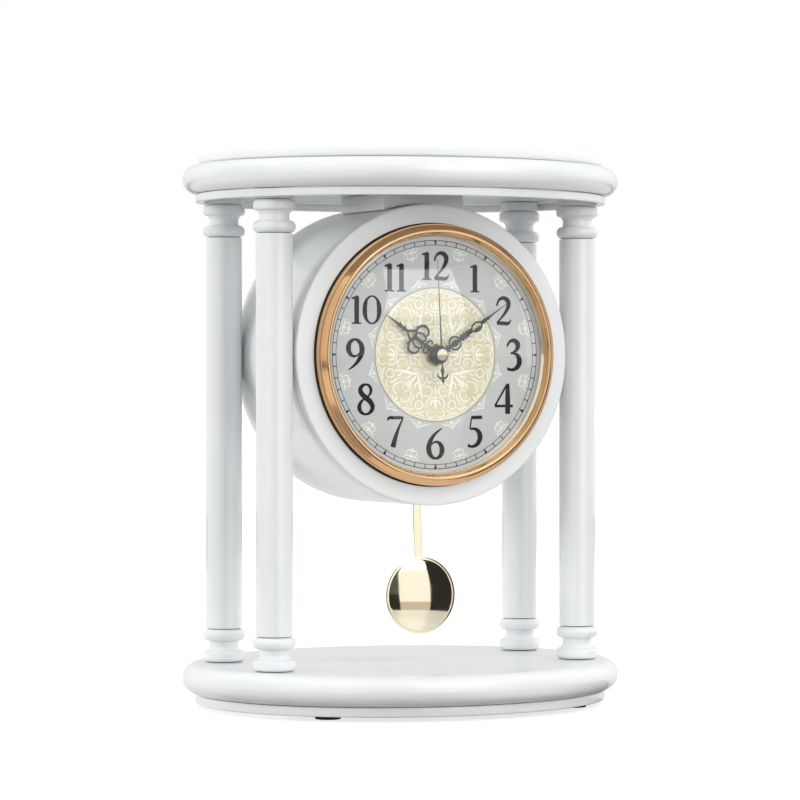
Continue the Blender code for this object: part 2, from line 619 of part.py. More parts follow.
def build_drum(drum):
    inner = DRUM_RADIUS - DRUM_WALL
    ledge = inner + BACK_COVER_LEDGE
    shell_back = -DRUM_BACK_DEPTH
    cover_back = shell_back + BACK_COVER_RECESS
    cover_front = cover_back + BACK_COVER_THICKNESS
    rebate = cover_front + SEAM
    shell = turned("drum_shell", [
        (inner, SHELL_FRONT), (DRUM_RADIUS, SHELL_FRONT), (DRUM_RADIUS, shell_back + DRUM_EDGE),
        (DRUM_RADIUS - DRUM_EDGE, shell_back), (ledge, shell_back), (ledge, rebate),
        (inner, rebate),
    ], DRUM_SIDES, WHITE_LACQUER, drum)
    for cutter in slot_cutters(drum):
        cut(shell, cutter)

    bore = BUSH_RADIUS + SEAM
    turned("front_panel", [
        (bore, PANEL_FRONT), (DRUM_RADIUS - DRUM_EDGE, PANEL_FRONT),
        (DRUM_RADIUS, PANEL_FRONT - DRUM_EDGE), (DRUM_RADIUS, PANEL_BACK), (bore, PANEL_BACK),
    ], DRUM_SIDES, WHITE_LACQUER, drum)

    cover = turned("back_cover", [
        (0, cover_front), (ledge - SEAM, cover_front), (ledge - SEAM, cover_back),
        (0, cover_back),
    ], DRUM_SIDES, WHITE_LACQUER, drum)
    finger_hole = cylinders("finger_hole", FINGER_HOLE_RADIUS, cover_back - DRUM_WALL,
                            cover_front + DRUM_WALL, [(0, FINGER_HOLE_OFFSET)], WHITE_LACQUER,
                            drum, sides=COLUMN_SIDES)
    cut(cover, finger_hole)

    block_top = TOP_BOARD_Z - SEAM
    block = box("drum_mount_block", (-MOUNT_BLOCK_HALF_X, -MOUNT_BLOCK_HALF_Y, DRUM_Z + inner),
                (MOUNT_BLOCK_HALF_X, MOUNT_BLOCK_HALF_Y, block_top), WHITE_LACQUER)
    saddle = cylinders("saddle", DRUM_RADIUS + SEAM, shell_back, PANEL_FRONT, [(0, 0)],
                       WHITE_LACQUER, drum, sides=DRUM_SIDES)
    cut(block, saddle)
    screw_bores = cylinders("screw_bores", DRUM_SCREW_RADIUS + SEAM, DRUM_Z, TOP_COVER_Z,
                            drum_screw_spots(), WHITE_LACQUER)
    cut(block, screw_bores)
    cut(shell, screw_bores)

    head_top = DRUM_Z + inner - SEAM
    screw_end = TOP_BOARD_Z + DRUM_SCREW_GRIP
    screw_profile = [(0, screw_end), (DRUM_SCREW_RADIUS, screw_end),
                     (DRUM_SCREW_RADIUS, head_top), (DRUM_SCREW_HEAD_RADIUS, head_top),
                     (DRUM_SCREW_HEAD_RADIUS, head_top - DRUM_SCREW_HEAD_HEIGHT),
                     (0, head_top - DRUM_SCREW_HEAD_HEIGHT)]
    for name, (x, y) in zip(("drum_screw_front", "drum_screw_back"), drum_screw_spots()):
        turned(name, screw_profile, BORE_SIDES, STEEL, location=(x, y, 0))


def bezel_profile():
    """Lip over the glass, rounded crest, outward slope, a fine groove, then the wall down to the
    panel and the pocket that holds the glass and the dial."""
    opening = DIAL_RADIUS - BEZEL_LIP
    pocket = DIAL_RADIUS + SEAM
    outside = pocket + BEZEL_WALL
    crest = BEZEL_SHOULDER + BEZEL_LIP_HEIGHT
    groove_top = crest - BEZEL_GROOVE_DROP
    groove_bottom = groove_top - BEZEL_GROOVE_HEIGHT
    return [
        (opening, crest - BEZEL_CREST_EDGE), (opening + BEZEL_CREST_EDGE, crest),
        (opening + BEZEL_CREST_EDGE + BEZEL_CREST_WIDTH, crest),
        (outside - BEZEL_GROOVE_DEPTH, groove_top), (outside - BEZEL_GROOVE_DEPTH, groove_bottom),
        (outside, groove_bottom), (outside, DIAL_BACK), (pocket, DIAL_BACK),
        (pocket, BEZEL_SHOULDER), (opening, BEZEL_SHOULDER),
    ]


def glass_sphere(flange):
    """Centre height and radius of the dome's sphere, above the flange. The sphere meets the
    flange and passes the tip of the hand that needs the highest dome, with a clearance."""
    tips = [(SECOND_HAND_LENGTH, SECOND_HAND_FRONT), (MINUTE_HAND_LENGTH, MINUTE_HAND_FRONT)]
    centres = []
    for reach, front in tips:
        rise = front + GLASS_CLEARANCE - GLASS_BACK
        centres.append((flange**2 - reach**2 - rise**2) / (2 * rise))
    depth = min(centres)
    return -depth, math.hypot(flange, depth)


def glass_profile():
    """A dome with a flat flange. Both faces are arcs of one radius."""
    flange = DIAL_RADIUS - GLASS_FLANGE
    centre, sphere = glass_sphere(flange)
    half_angle = math.asin(flange / sphere)
    angles = [half_angle * i / DOME_STEPS for i in range(DOME_STEPS + 1)]
    dome = [(sphere * math.sin(a), centre + sphere * math.cos(a)) for a in angles]
    front = [(r, GLASS_FRONT + rise) for r, rise in dome]
    back = [(r, GLASS_BACK + rise) for r, rise in reversed(dome)]
    return front + [(DIAL_RADIUS, GLASS_FRONT), (DIAL_RADIUS, GLASS_BACK)] + back


def build_dial(drum):
    bore = BUSH_RADIUS + SEAM
    turned("dial", [(bore, DIAL_FRONT), (DIAL_RADIUS, DIAL_FRONT), (DIAL_RADIUS, DIAL_BACK),
                    (bore, DIAL_BACK)], DIAL_SIDES, SATIN_DIAL, drum)
    inner = DIAL_RADIUS - SIGHT_RING_WIDTH
    turned("sight_ring", [(inner, SIGHT_RING_FRONT), (DIAL_RADIUS, SIGHT_RING_FRONT),
                          (DIAL_RADIUS, SIGHT_RING_BACK), (inner, SIGHT_RING_BACK)],
           DIAL_SIDES, ROSE_GOLD, drum)
    turned("lens", glass_profile(), DIAL_SIDES, CLEAR_GLASS, drum)
    turned("bezel", bezel_profile(), DIAL_SIDES, ROSE_GOLD, drum)
    flat_solid("shaft_nut", [circle(NUT_RADIUS, 6), circle(bore, COLUMN_SIDES)],
               NUT_THICKNESS, BRASS, drum, (0, 0, NUT_BACK))


def bead_width(y, centre, half_width, half_length):
    reach = (y - centre) / half_length
    return half_width * math.sqrt(1 - reach * reach) if abs(reach) < 1 else 0.0


def hand_outline(beads, start, tip, root_width, steps):
    """The rim of a hand that points up Y: the widest of its beads at each height, over a blade
    that narrows from root to tip."""
    right = []
    for i in range(1, steps + 1):
        y = start + (tip - start) * i / steps
        blade = root_width + (HAND_TIP_WIDTH - root_width) * max(y, 0) / tip
        width = max([bead_width(y, *bead) for bead in beads] + [blade])
        right.append((width, y))
    left = [(-x, y) for x, y in reversed(right)]
    return [(0.0, start)] + right + left


def hand_loops(loops):
    return [oval(half_x, half_y, LOOP_SIDES, (x, y)) for x, y, half_x, half_y in loops]


def build_hour_hand(drum):
    hub = (0, HAND_HUB_RADIUS, HAND_HUB_RADIUS)
    rim = hand_outline((hub, *HOUR_HAND_BEADS), -HAND_HUB_RADIUS, HOUR_HAND_LENGTH,
                       HOUR_HAND_WIDTH, 26)
    bore = circle(HOUR_TUBE_RADIUS + SEAM, BORE_SIDES)
    flat_solid("hour_hand", [rim, bore] + hand_loops(HOUR_HAND_LOOPS), HAND_THICKNESS,
               DARK_STEEL, drum, (0, 0, HOUR_HAND_BACK), (0, 0, -HOUR_HAND_ANGLE))


def build_minute_hand(drum):
    hub = (0, HAND_HUB_RADIUS, HAND_HUB_RADIUS)
    rim = hand_outline((hub, *MINUTE_HAND_BEADS), -HAND_HUB_RADIUS, MINUTE_HAND_LENGTH,
                       MINUTE_HAND_WIDTH, 30)
    bore = MINUTE_TUBE_RADIUS + SEAM
    hand = flat_solid("minute_hand", [rim, circle(bore, BORE_SIDES)] + hand_loops(MINUTE_HAND_LOOPS),
                      HAND_THICKNESS, DARK_STEEL, drum, (0, 0, MINUTE_HAND_BACK),
                      (0, 0, -MINUTE_HAND_ANGLE))
    boss_foot = MINUTE_HAND_FRONT - HAND_THICKNESS / 2
    boss_radius = bore + MINUTE_BOSS_WALL
    boss = turned("minute_boss", [(bore, MINUTE_TUBE_END), (boss_radius, MINUTE_TUBE_END),
                                  (boss_radius, boss_foot), (bore, boss_foot)],
                  BORE_SIDES, DARK_STEEL, drum)
    join(hand, boss)


def build_second_hand(drum):
    rim = hand_outline(SECOND_HAND_BEADS, -SECOND_HAND_TAIL, SECOND_HAND_LENGTH,
                       SECOND_HAND_WIDTH, 60)
    bore = SECOND_ARBOR_RADIUS + SEAM
    flat_solid("second_hand", [rim, circle(bore, BORE_SIDES)], SECOND_HAND_THICKNESS,
               DARK_STEEL, drum, (0, 0, SECOND_HAND_BACK), (0, 0, -SECOND_HAND_ANGLE))
    turned("second_hand_cap", [
        (0, CAP_FRONT), (CAP_RADIUS - CAP_EDGE, CAP_FRONT), (CAP_RADIUS, CAP_FRONT - CAP_EDGE),
        (CAP_RADIUS, CAP_BACK), (bore, CAP_BACK), (bore, CAP_FRONT - CAP_END),
        (0, CAP_FRONT - CAP_END),
    ], COLUMN_SIDES, BRASS, drum)


def gear_outline(teeth, phase=0.0):
    """Teeth with straight flanks and some backlash. A tooth is centred on the phase angle."""
    pitch_radius = GEAR_MODULE * teeth / 2
    tip = pitch_radius + GEAR_ADDENDUM * GEAR_MODULE
    root = pitch_radius - GEAR_DEDENDUM * GEAR_MODULE
    tooth = FULL_TURN / teeth
    points = []
    for i in range(teeth):
        middle = phase + tooth * i
        for radius, share in ((root, -TOOTH_ROOT_SHARE), (tip, -TOOTH_TIP_SHARE),
                              (tip, TOOTH_TIP_SHARE), (root, TOOTH_ROOT_SHARE)):
            angle = middle + share * tooth
            points.append((radius * math.cos(angle), radius * math.sin(angle)))
    return points


def add_wheel(name, teeth, phase, hole, low, thickness, material, parent, location=(0, 0, 0)):
    return flat_solid(name, [gear_outline(teeth, phase), circle(hole, BORE_SIDES)], thickness,
                      material, parent, (location[0], location[1], low))


def tube(name, outer, inner, low, high, material, parent, location=(0, 0, 0)):
    profile = [(inner, high), (outer, high), (outer, low), (inner, low)]
    return turned(name, profile, BORE_SIDES, material, parent, location)


def build_wheels(drum):
    """The hour wheel, the minute arbor with its pinion, the minute wheel between them, and the
    second wheel, all in mesh. The minute wheel's arbor carries the setting knob."""
    hour_front = CASE_FRONT - CASE_WALL - WHEEL_GAP
    hour_back = hour_front - WHEEL_THICKNESS
    minute_front = hour_back - WHEEL_GAP
    minute_back = minute_front - WHEEL_THICKNESS
    side = (WHEEL_DISTANCE, 0, 0)

    gap_phase = math.pi / HOUR_WHEEL_TEETH
    hour_wheel = add_wheel("hour_wheel", HOUR_WHEEL_TEETH, gap_phase,
                           (HOUR_TUBE_BORE + HOUR_TUBE_RADIUS) / 2, hour_back, WHEEL_THICKNESS,
                           BRASS, drum)
    hour_tube = tube("hour_tube", HOUR_TUBE_RADIUS, HOUR_TUBE_BORE, hour_back - WHEEL_GAP / 2,
                     HOUR_TUBE_END, BRASS, drum)
    join(hour_wheel, hour_tube)

    cannon_front = minute_front + WHEEL_GAP / 2
    cannon_back = minute_back - WHEEL_GAP / 2
    tube_back = cannon_back - CANNON_TAIL
    arbor = tube("minute_arbor", MINUTE_TUBE_RADIUS, MINUTE_TUBE_BORE, tube_back,
                 MINUTE_TUBE_END, BRASS, drum)
    cannon = add_wheel("cannon_pinion", CANNON_TEETH, 0.0,
                       (MINUTE_TUBE_BORE + MINUTE_TUBE_RADIUS) / 2, cannon_back,
                       cannon_front - cannon_back, BRASS, drum)
    join(arbor, cannon)

    knob_front = COVER_BACK - SEAM
    knob_back = knob_front - KNOB_LENGTH
    knob_floor = knob_front - KNOB_GRIP
    wheel = cylinders("minute_wheel", WHEEL_ARBOR_RADIUS, knob_floor + SEAM,
                      CASE_FRONT - CASE_WALL / 2, [(0, 0)], WHITE_PLASTIC, drum, side)
    disc = add_wheel("minute_wheel_disc", MINUTE_WHEEL_TEETH,
                     math.pi + math.pi / MINUTE_WHEEL_TEETH, WHEEL_ARBOR_RADIUS / 2, minute_back,
                     WHEEL_THICKNESS, WHITE_PLASTIC, drum, side)
    pinion_foot = minute_back + WHEEL_THICKNESS / 2
    pinion_end = hour_front + WHEEL_GAP / 2
    pinion = add_wheel("minute_wheel_pinion", MINUTE_PINION_TEETH, math.pi,
                       WHEEL_ARBOR_RADIUS / 2, pinion_foot, pinion_end - pinion_foot,
                       WHITE_PLASTIC, drum, side)
    join(wheel, disc)
    join(wheel, pinion)

    knob_bore = WHEEL_ARBOR_RADIUS + SEAM
    turned("setting_knob", [
        (0, knob_floor), (knob_bore, knob_floor), (knob_bore, knob_front),
        (KNOB_RADIUS - KNOB_EDGE, knob_front), (KNOB_RADIUS, knob_front - KNOB_EDGE),
        (KNOB_RADIUS, knob_back + KNOB_EDGE), (KNOB_RADIUS - KNOB_EDGE, knob_back),
        (0, knob_back),
    ], COLUMN_SIDES, BLACK_PLASTIC, drum, side)

    second_wheel = cylinders("second_wheel", SECOND_ARBOR_RADIUS, COVER_FRONT - BEARING_DEPTH,
                             CAP_FRONT - CAP_END - SEAM, [(0, 0)], BRASS, drum)
    second_disc = add_wheel("second_wheel_disc", SECOND_WHEEL_TEETH, 0.0,
                            SECOND_ARBOR_RADIUS / 2, tube_back - WHEEL_GAP - WHEEL_THICKNESS,
                            WHEEL_THICKNESS, BRASS, drum)
    join(second_wheel, second_disc)


def build_case(drum):
    """The movement's case: a tray open at the back for the wheels and for the battery, with the
    threaded bush that the nut holds to the panel, and its flat cover."""
    case = box("movement_case", (-CASE_HALF_X, CASE_BOTTOM, CASE_BACK),
               (CASE_HALF_X, CASE_TOP, CASE_FRONT), BLACK_PLASTIC, drum)
    bush = cylinders("bush", BUSH_RADIUS, CASE_FRONT - CASE_WALL / 2, BUSH_END, [(0, 0)],
                     BLACK_PLASTIC, drum, sides=COLUMN_SIDES)
    join(case, bush)
    floor = CASE_FRONT - CASE_WALL
    inside = CASE_HALF_X - CASE_WALL
    chamber = box("chamber", (-inside, CHAMBER_BOTTOM, CASE_BACK - CASE_WALL),
                  (inside, CHAMBER_TOP, floor), BLACK_PLASTIC, drum)
    cut(case, chamber)
    bay = box("battery_bay", (-inside, BATTERY_HEIGHT - BAY_HALF, CASE_BACK - CASE_WALL),
              (inside, BATTERY_HEIGHT + BAY_HALF, CASE_FRONT - BAY_FLOOR), BLACK_PLASTIC, drum)
    cut(case, bay)
    bush_bore = cylinders("bush_bore", BUSH_BORE, floor - CASE_WALL, BUSH_END + CASE_WALL,
                          [(0, 0)], BLACK_PLASTIC, drum)
    cut(case, bush_bore)
    arbor_hole = cylinders("arbor_hole", WHEEL_ARBOR_RADIUS + SEAM, floor - CASE_WALL,
                           CASE_FRONT - CASE_WALL / 2 + SEAM, [(WHEEL_DISTANCE, 0)],
                           BLACK_PLASTIC, drum)
    cut(case, arbor_hole)
    pin_hole = cylinders("pin_hole", PIN_RADIUS + SEAM, CASE_BACK - CASE_WALL,
                         CASE_BACK + PIN_DEPTH + SEAM, [(0, PIVOT_HEIGHT)], BLACK_PLASTIC, drum)
    cut(case, pin_hole)

    cover = box("movement_cover", (-CASE_HALF_X, CHAMBER_BOTTOM - CASE_WALL, COVER_BACK),
                (CASE_HALF_X, CASE_TOP, COVER_FRONT), BLACK_PLASTIC, drum)
    knob_hole = cylinders("knob_hole", WHEEL_ARBOR_RADIUS + SEAM, COVER_BACK - CASE_WALL,
                          COVER_FRONT + CASE_WALL, [(WHEEL_DISTANCE, 0)], BLACK_PLASTIC, drum)
    cut(cover, knob_hole)
    bearing = cylinders("second_bearing", SECOND_ARBOR_RADIUS + SEAM,
                        COVER_FRONT - BEARING_DEPTH - SEAM, COVER_FRONT + CASE_WALL, [(0, 0)],
                        BLACK_PLASTIC, drum)
    cut(cover, bearing)


def build_battery(drum):
    """The battery lies across the case, between two contact plates."""
    forward = CASE_BACK + BATTERY_RADIUS + SEAM
    body_end = BATTERY_LENGTH / 2 - BATTERY_NUB_LENGTH
    turned("battery", [
        (0, BATTERY_LENGTH / 2), (BATTERY_NUB_RADIUS, BATTERY_LENGTH / 2),
        (BATTERY_NUB_RADIUS, body_end), (BATTERY_RADIUS - BATTERY_EDGE, body_end),
        (BATTERY_RADIUS, body_end - BATTERY_EDGE), (BATTERY_RADIUS, -BATTERY_LENGTH / 2),
        (0, -BATTERY_LENGTH / 2),
    ], COLUMN_SIDES, BATTERY_WRAP, drum, (0, BATTERY_HEIGHT, forward), (0, math.pi / 2, 0))
    near = BATTERY_LENGTH / 2 + SEAM
    far = near + CONTACT_THICKNESS
    back = CASE_BACK + SEAM
    for name, low, high in (("battery_contact_positive", near, far),
                            ("battery_contact_negative", -far, -near)):
        box(name, (low, BATTERY_HEIGHT - CONTACT_WIDTH / 2, back),
            (high, BATTERY_HEIGHT + CONTACT_WIDTH / 2, back + CONTACT_DEPTH), STEEL, drum)


def build_electrics(drum):
    """The circuit board stands on the cover, and the coil that drives the wheels lies on it."""
    left = -(CASE_HALF_X - CASE_WALL - SEAM)
    low = COVER_FRONT + SEAM
    top = low + CIRCUIT_THICKNESS
    middle = (CHAMBER_BOTTOM + CHAMBER_TOP) / 2
    box("circuit_board", (left, middle - CIRCUIT_HEIGHT / 2, low),
        (left + CIRCUIT_WIDTH, middle + CIRCUIT_HEIGHT / 2, top), BOARD_GREEN, drum)
    cylinders("drive_coil", COIL_RADIUS, -COIL_LENGTH / 2, COIL_LENGTH / 2, [(0, 0)],
              COPPER_WIRE, drum, (left + CIRCUIT_WIDTH / 2, middle, top + SEAM + COIL_RADIUS),
              (math.pi / 2, 0, 0), sides=LOOP_SIDES)


def build_lever(drum, pivot):
    """The pin in the back of the movement, and the lever that turns on it. The lever's peg holds
    the rod, and a catch on the peg keeps the rod from slipping off."""
    head_front = LEVER_BACK - SEAM
    head_back = head_front - PIN_HEAD_HEIGHT
    pin_end = CASE_BACK + PIN_DEPTH
    turned("pendulum_pin", [
        (0, pin_end), (PIN_RADIUS, pin_end), (PIN_RADIUS, head_front),
        (PIN_HEAD_RADIUS, head_front), (PIN_HEAD_RADIUS, head_back), (0, head_back),
    ], BORE_SIDES, STEEL, drum, (0, PIVOT_HEIGHT, 0))

    half = LEVER_WIDTH / 2
    rim = arc((0, 0), half, 0, 180, 8) + arc((0, -PEG_DROP), half, 180, 360, 8)
    lever = flat_solid("pendulum_lever", [rim, circle(PIN_RADIUS + SEAM, BORE_SIDES)],
                       LEVER_THICKNESS, WHITE_PLASTIC, pivot, (0, 0, LEVER_BACK))
    peg_end = ROD_BACK - PEG_TAIL
    catch_front = ROD_BACK - SEAM
    peg = cylinders("peg", PEG_RADIUS, peg_end, LEVER_BACK + LEVER_THICKNESS / 2,
                    [(0, -PEG_DROP)], WHITE_PLASTIC, pivot)
    catch = box("peg_catch", (-CATCH_WIDTH / 2, -PEG_DROP, (peg_end + catch_front) / 2 - SEAM),
                (CATCH_WIDTH / 2, -PEG_DROP + CATCH_HEIGHT, catch_front), WHITE_PLASTIC, pivot)
    join(lever, peg)
    join(lever, catch)


def build_rod_and_bob(pivot):
    """The rod hangs by its eye on the lever's peg, and the bob's back has a groove for it."""
    eye = -PEG_DROP + PEG_RADIUS + SEAM - ROD_EYE_RADIUS
    half = ROD_WIDTH / 2
    strip = arc((0, eye), half, 0, 180, 8) + [(-half, -BOB_DROP), (half, -BOB_DROP)]
    flat_solid("pendulum_rod", [strip, circle(ROD_EYE_RADIUS, BORE_SIDES, (0, eye))],
               ROD_THICKNESS, BRASS, pivot, (0, 0, ROD_BACK))

    bob_back = ROD_BACK - SEAM
    rim_front = bob_back + BOB_BODY
    dome_foot = BOB_RADIUS - BOB_RIM
    dome = [(dome_foot * math.cos(a), rim_front + BOB_FRONT_RISE * math.sin(a))
            for a in (math.radians(angle) for angle in (90, 68, 48, 28, 10))]
    bob = turned("pendulum_bob", dome + [
        (dome_foot, rim_front), (BOB_RADIUS, rim_front - BOB_RIM_EDGE),
        (BOB_RADIUS, bob_back + BOB_CHAMFER), (BOB_RADIUS - BOB_CHAMFER, bob_back),
        (0, bob_back),
    ], BOB_SIDES, BRASS, pivot, (0, -BOB_DROP, 0))
    groove = box("rod_groove", (-half - SEAM, -BOB_DROP - SEAM, bob_back - ROD_THICKNESS),
                 (half + SEAM, -BOB_DROP + 2 * BOB_RADIUS, ROD_FRONT + SEAM), BRASS, pivot)
    cut(bob, groove)


def build_clock():
    build_base()
    build_columns()
    build_top()
    drum = empty("drum_centre", (0, 0, DRUM_Z), rotation=(math.pi / 2, 0, 0))
    build_drum(drum)
    build_dial(drum)
    build_hour_hand(drum)
    build_minute_hand(drum)
    build_second_hand(drum)
    build_case(drum)
    build_wheels(drum)
    build_battery(drum)
    build_electrics(drum)
    pivot = empty("pendulum_pivot", (0, PIVOT_HEIGHT, 0), drum, (0, 0, PENDULUM_TILT))
    build_lever(drum, pivot)
    build_rod_and_bob(pivot)


build_clock()
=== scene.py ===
# %% [markdown]
# # A white table clock with a swinging pendulum
# An oval base and an oval top are joined by four turned columns, and a round drum hangs under
# the top. This lesson dresses the plain CAD solids of that clock: each visible part is modelled
# again with fine edges and given a finish made of shader nodes. The CAD model is loaded first,
# because it fixes every size and place.

import json
import math

import bmesh
import bpy
from mathutils import Matrix, Vector


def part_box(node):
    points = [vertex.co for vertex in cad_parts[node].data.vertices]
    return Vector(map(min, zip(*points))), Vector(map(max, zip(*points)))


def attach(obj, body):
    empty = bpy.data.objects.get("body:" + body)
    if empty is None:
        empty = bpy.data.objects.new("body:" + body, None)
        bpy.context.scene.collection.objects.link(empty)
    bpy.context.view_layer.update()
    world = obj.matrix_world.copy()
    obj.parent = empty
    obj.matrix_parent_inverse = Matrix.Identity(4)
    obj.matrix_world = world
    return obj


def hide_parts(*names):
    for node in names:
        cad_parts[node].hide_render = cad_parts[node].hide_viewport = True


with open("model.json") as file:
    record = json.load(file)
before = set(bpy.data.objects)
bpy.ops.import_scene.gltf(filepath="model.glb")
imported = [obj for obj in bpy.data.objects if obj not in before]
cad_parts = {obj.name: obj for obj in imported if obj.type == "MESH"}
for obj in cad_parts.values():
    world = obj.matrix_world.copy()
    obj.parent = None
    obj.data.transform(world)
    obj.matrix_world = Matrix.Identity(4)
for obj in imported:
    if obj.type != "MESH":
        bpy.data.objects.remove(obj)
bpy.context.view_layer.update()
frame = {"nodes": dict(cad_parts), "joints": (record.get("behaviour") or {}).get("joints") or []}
mm = 0.001

# %% [markdown]
# ## The camera
# The photograph was taken from about two metres away, a little to the clock's left and level
# with its middle. A long lens from far away keeps the columns straight. The shift moves the
# picture without tilting the camera, as a photographer does to keep uprights upright.

# %% Camera
camera = bpy.data.objects.new("camera", bpy.data.cameras.new("camera"))
bpy.context.scene.collection.objects.link(camera)
camera.location = (-0.9654, -1.9714, 0.2122)
camera.rotation_euler = (math.radians(90), 0, math.radians(-26.09))
camera.data.lens = 153.4
camera.data.sensor_width = 36
camera.data.shift_x = -0.00176
camera.data.shift_y = -0.0338
bpy.context.scene.camera = camera
print("camera stands", round(camera.location.length, 2), "m from the clock's foot")

# %% [markdown]
# ## Two small helpers
# Almost every part ends in the same way: the bmesh is moved to its place, becomes a mesh with a
# finish, rides on a CAD body and stands for a CAD node. Doing that in one function keeps the
# cells about the parts short. Smooth shading with a sharp-angle limit keeps round faces soft and
# real corners crisp.


def as_object(name, shape):
    mesh = bpy.data.meshes.new(name)
    shape.to_mesh(mesh)
    shape.free()
    thing = bpy.data.objects.new(name, mesh)
    bpy.context.scene.collection.objects.link(thing)
    return thing


def finish_part(name, shape, finish, place, *nodes, body="stand", sharp_angle=40):
    """Makes a shape into a part that rides on a body and stands for the named CAD nodes."""
    bmesh.ops.transform(shape, matrix=place, verts=shape.verts)
    part = as_object(name, shape)
    part.data.materials.append(finish)
    part.data.shade_smooth()
    part.data.set_sharp_from_angle(angle=math.radians(sharp_angle))
    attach(part, body)
    if nodes:
        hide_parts(*nodes)
    print(name, len(part.data.polygons), "faces")

# %% [markdown]
# ## A starting point for finishes
# Each finish starts from a Principled shader. Numbers that are the same everywhere are set
# straight on it, and only what varies over the surface is a node: a noise that is read in
# Object coordinates and spread between two colours or two values. Object coordinates are in
# metres here, so a noise scale of 1000 is about a millimetre.

# %% Helpers for finishes
def set_inputs(node, *values, **named):
    """Sets a node's inputs, in order or by name, to plain values or to other nodes' outputs.
    An underscore in a name stands for a space."""
    pairs = list(zip(node.inputs, values))
    pairs += [(node.inputs[name.replace("_", " ")], value) for name, value in named.items()]
    for socket, value in pairs:
        if isinstance(value, bpy.types.NodeSocket):
            node.id_data.links.new(value, socket)
        else:
            socket.default_value = value
    return node


def add_node(finish, kind, *values, **named):
    return set_inputs(finish.node_tree.nodes.new("ShaderNode" + kind), *values, **named)


def shader_of(finish):
    return finish.node_tree.nodes["Principled BSDF"]


def new_finish(name, colour, roughness, metallic=0.0, **more):
    finish = bpy.data.materials.new(name)
    finish.use_nodes = True
    finish.diffuse_color = (*colour, 1)
    set_inputs(shader_of(finish), Base_Color=(*colour, 1), Roughness=roughness,
               Metallic=metallic, **more)
    return finish


def add_noise(finish, scale, detail=2.0, stretch=(1, 1, 1)):
    place = add_node(finish, "TexCoord").outputs["Object"]
    mapping = add_node(finish, "Mapping", Vector=place, Scale=stretch)
    noise = add_node(finish, "TexNoise", Vector=mapping.outputs["Vector"], Scale=scale,
                     Detail=detail)
    return noise.outputs["Fac"]


def vary(finish, noise, colours=None, roughness=None, bump=0.0, band=(0.3, 0.7)):
    """Lets a noise change a finish's colour, its roughness or its height. The noise is a node's
    output or what add_noise takes, and the band is the stretch of its values that is spread."""
    value = add_noise(finish, *noise) if isinstance(noise, tuple) else noise
    if colours:
        ramp = add_node(finish, "ValToRGB", value)
        for stop, position, colour in zip(ramp.color_ramp.elements, band, colours):
            stop.position = position
            stop.color = (*colour, 1)
        set_inputs(shader_of(finish), Base_Color=ramp.outputs["Color"])
    if roughness:
        spread = add_node(finish, "MapRange", value, *band, *roughness)
        set_inputs(shader_of(finish), Roughness=spread.outputs["Result"])
    if bump:
        raised = add_node(finish, "Bump", Strength=1.0, Distance=bump, Height=value)
        set_inputs(shader_of(finish), Normal=raised.outputs["Normal"])

# %% [markdown]
# ## White lacquer
# The wooden parts are sprayed with white lacquer and left glossy. A sprayed coat is never quite
# flat: it has a fine skin like orange peel and very faint cloudiness. The clear coat of the
# Principled shader gives the sharp reflection on top, while the coat of paint under it stays
# softer. The cover on top is left satin, without the clear coat, so it mirrors little.

# %% White lacquer
white_lacquer = new_finish("white_lacquer", (0.775, 0.79, 0.80), 0.38, Coat_Weight=0.7,
                           Coat_Roughness=0.05)
vary(white_lacquer, (22, 3), colours=((0.765, 0.782, 0.792), (0.785, 0.80, 0.81)),
     roughness=(0.32, 0.44))
vary(white_lacquer, (700, 1), bump=0.02 * mm)

cover_lacquer = white_lacquer.copy()
cover_lacquer.name = "cover_lacquer"
set_inputs(shader_of(cover_lacquer), Coat_Weight=0.0, Specular_IOR_Level=0.2)
print("finishes:", white_lacquer.name, cover_lacquer.name)

# %% [markdown]
# ## The oval boards
# The base board and the top board are ovals with a fully rounded edge, which a router cuts with
# a bullnose bit. The plinth and the cover are thinner ovals set back from that edge. Here a
# circle is stretched into an oval, filled, raised, and its two rims are bevelled. When each
# bevel is half as deep as the board is thick, the two meet and give the full round. Holes are
# extra circles that the fill leaves open. A narrow inset keeps the large flat faces flat
# under smooth shading.

# %% Oval boards
oval_segments = 240
flat_margin = 0.6 * mm


def bevel(shape, geometry, offset, segments, affect="EDGES", clamp=False):
    bmesh.ops.bevel(shape, geom=geometry, offset=offset, segments=segments, profile=0.5,
                    affect=affect, material=-1, clamp_overlap=clamp)


def push_up(shape, height):
    """Makes a flat shape into a solid of this height."""
    made = bmesh.ops.extrude_face_region(shape, geom=shape.faces, use_keep_orig=True)["geom"]
    above = [item for item in made if isinstance(item, bmesh.types.BMVert)]
    bmesh.ops.translate(shape, vec=(0, 0, height), verts=above)
    bmesh.ops.recalc_face_normals(shape, faces=shape.faces)


def level_edges(shape):
    return [line for line in shape.edges
            if abs(line.verts[0].co.z - line.verts[1].co.z) < 1e-6]


def inset_flats(shape, margin):
    flats = [face for face in shape.faces if abs(face.normal.z) > 0.9999]
    bmesh.ops.inset_region(shape, faces=flats, thickness=margin, use_even_offset=True)


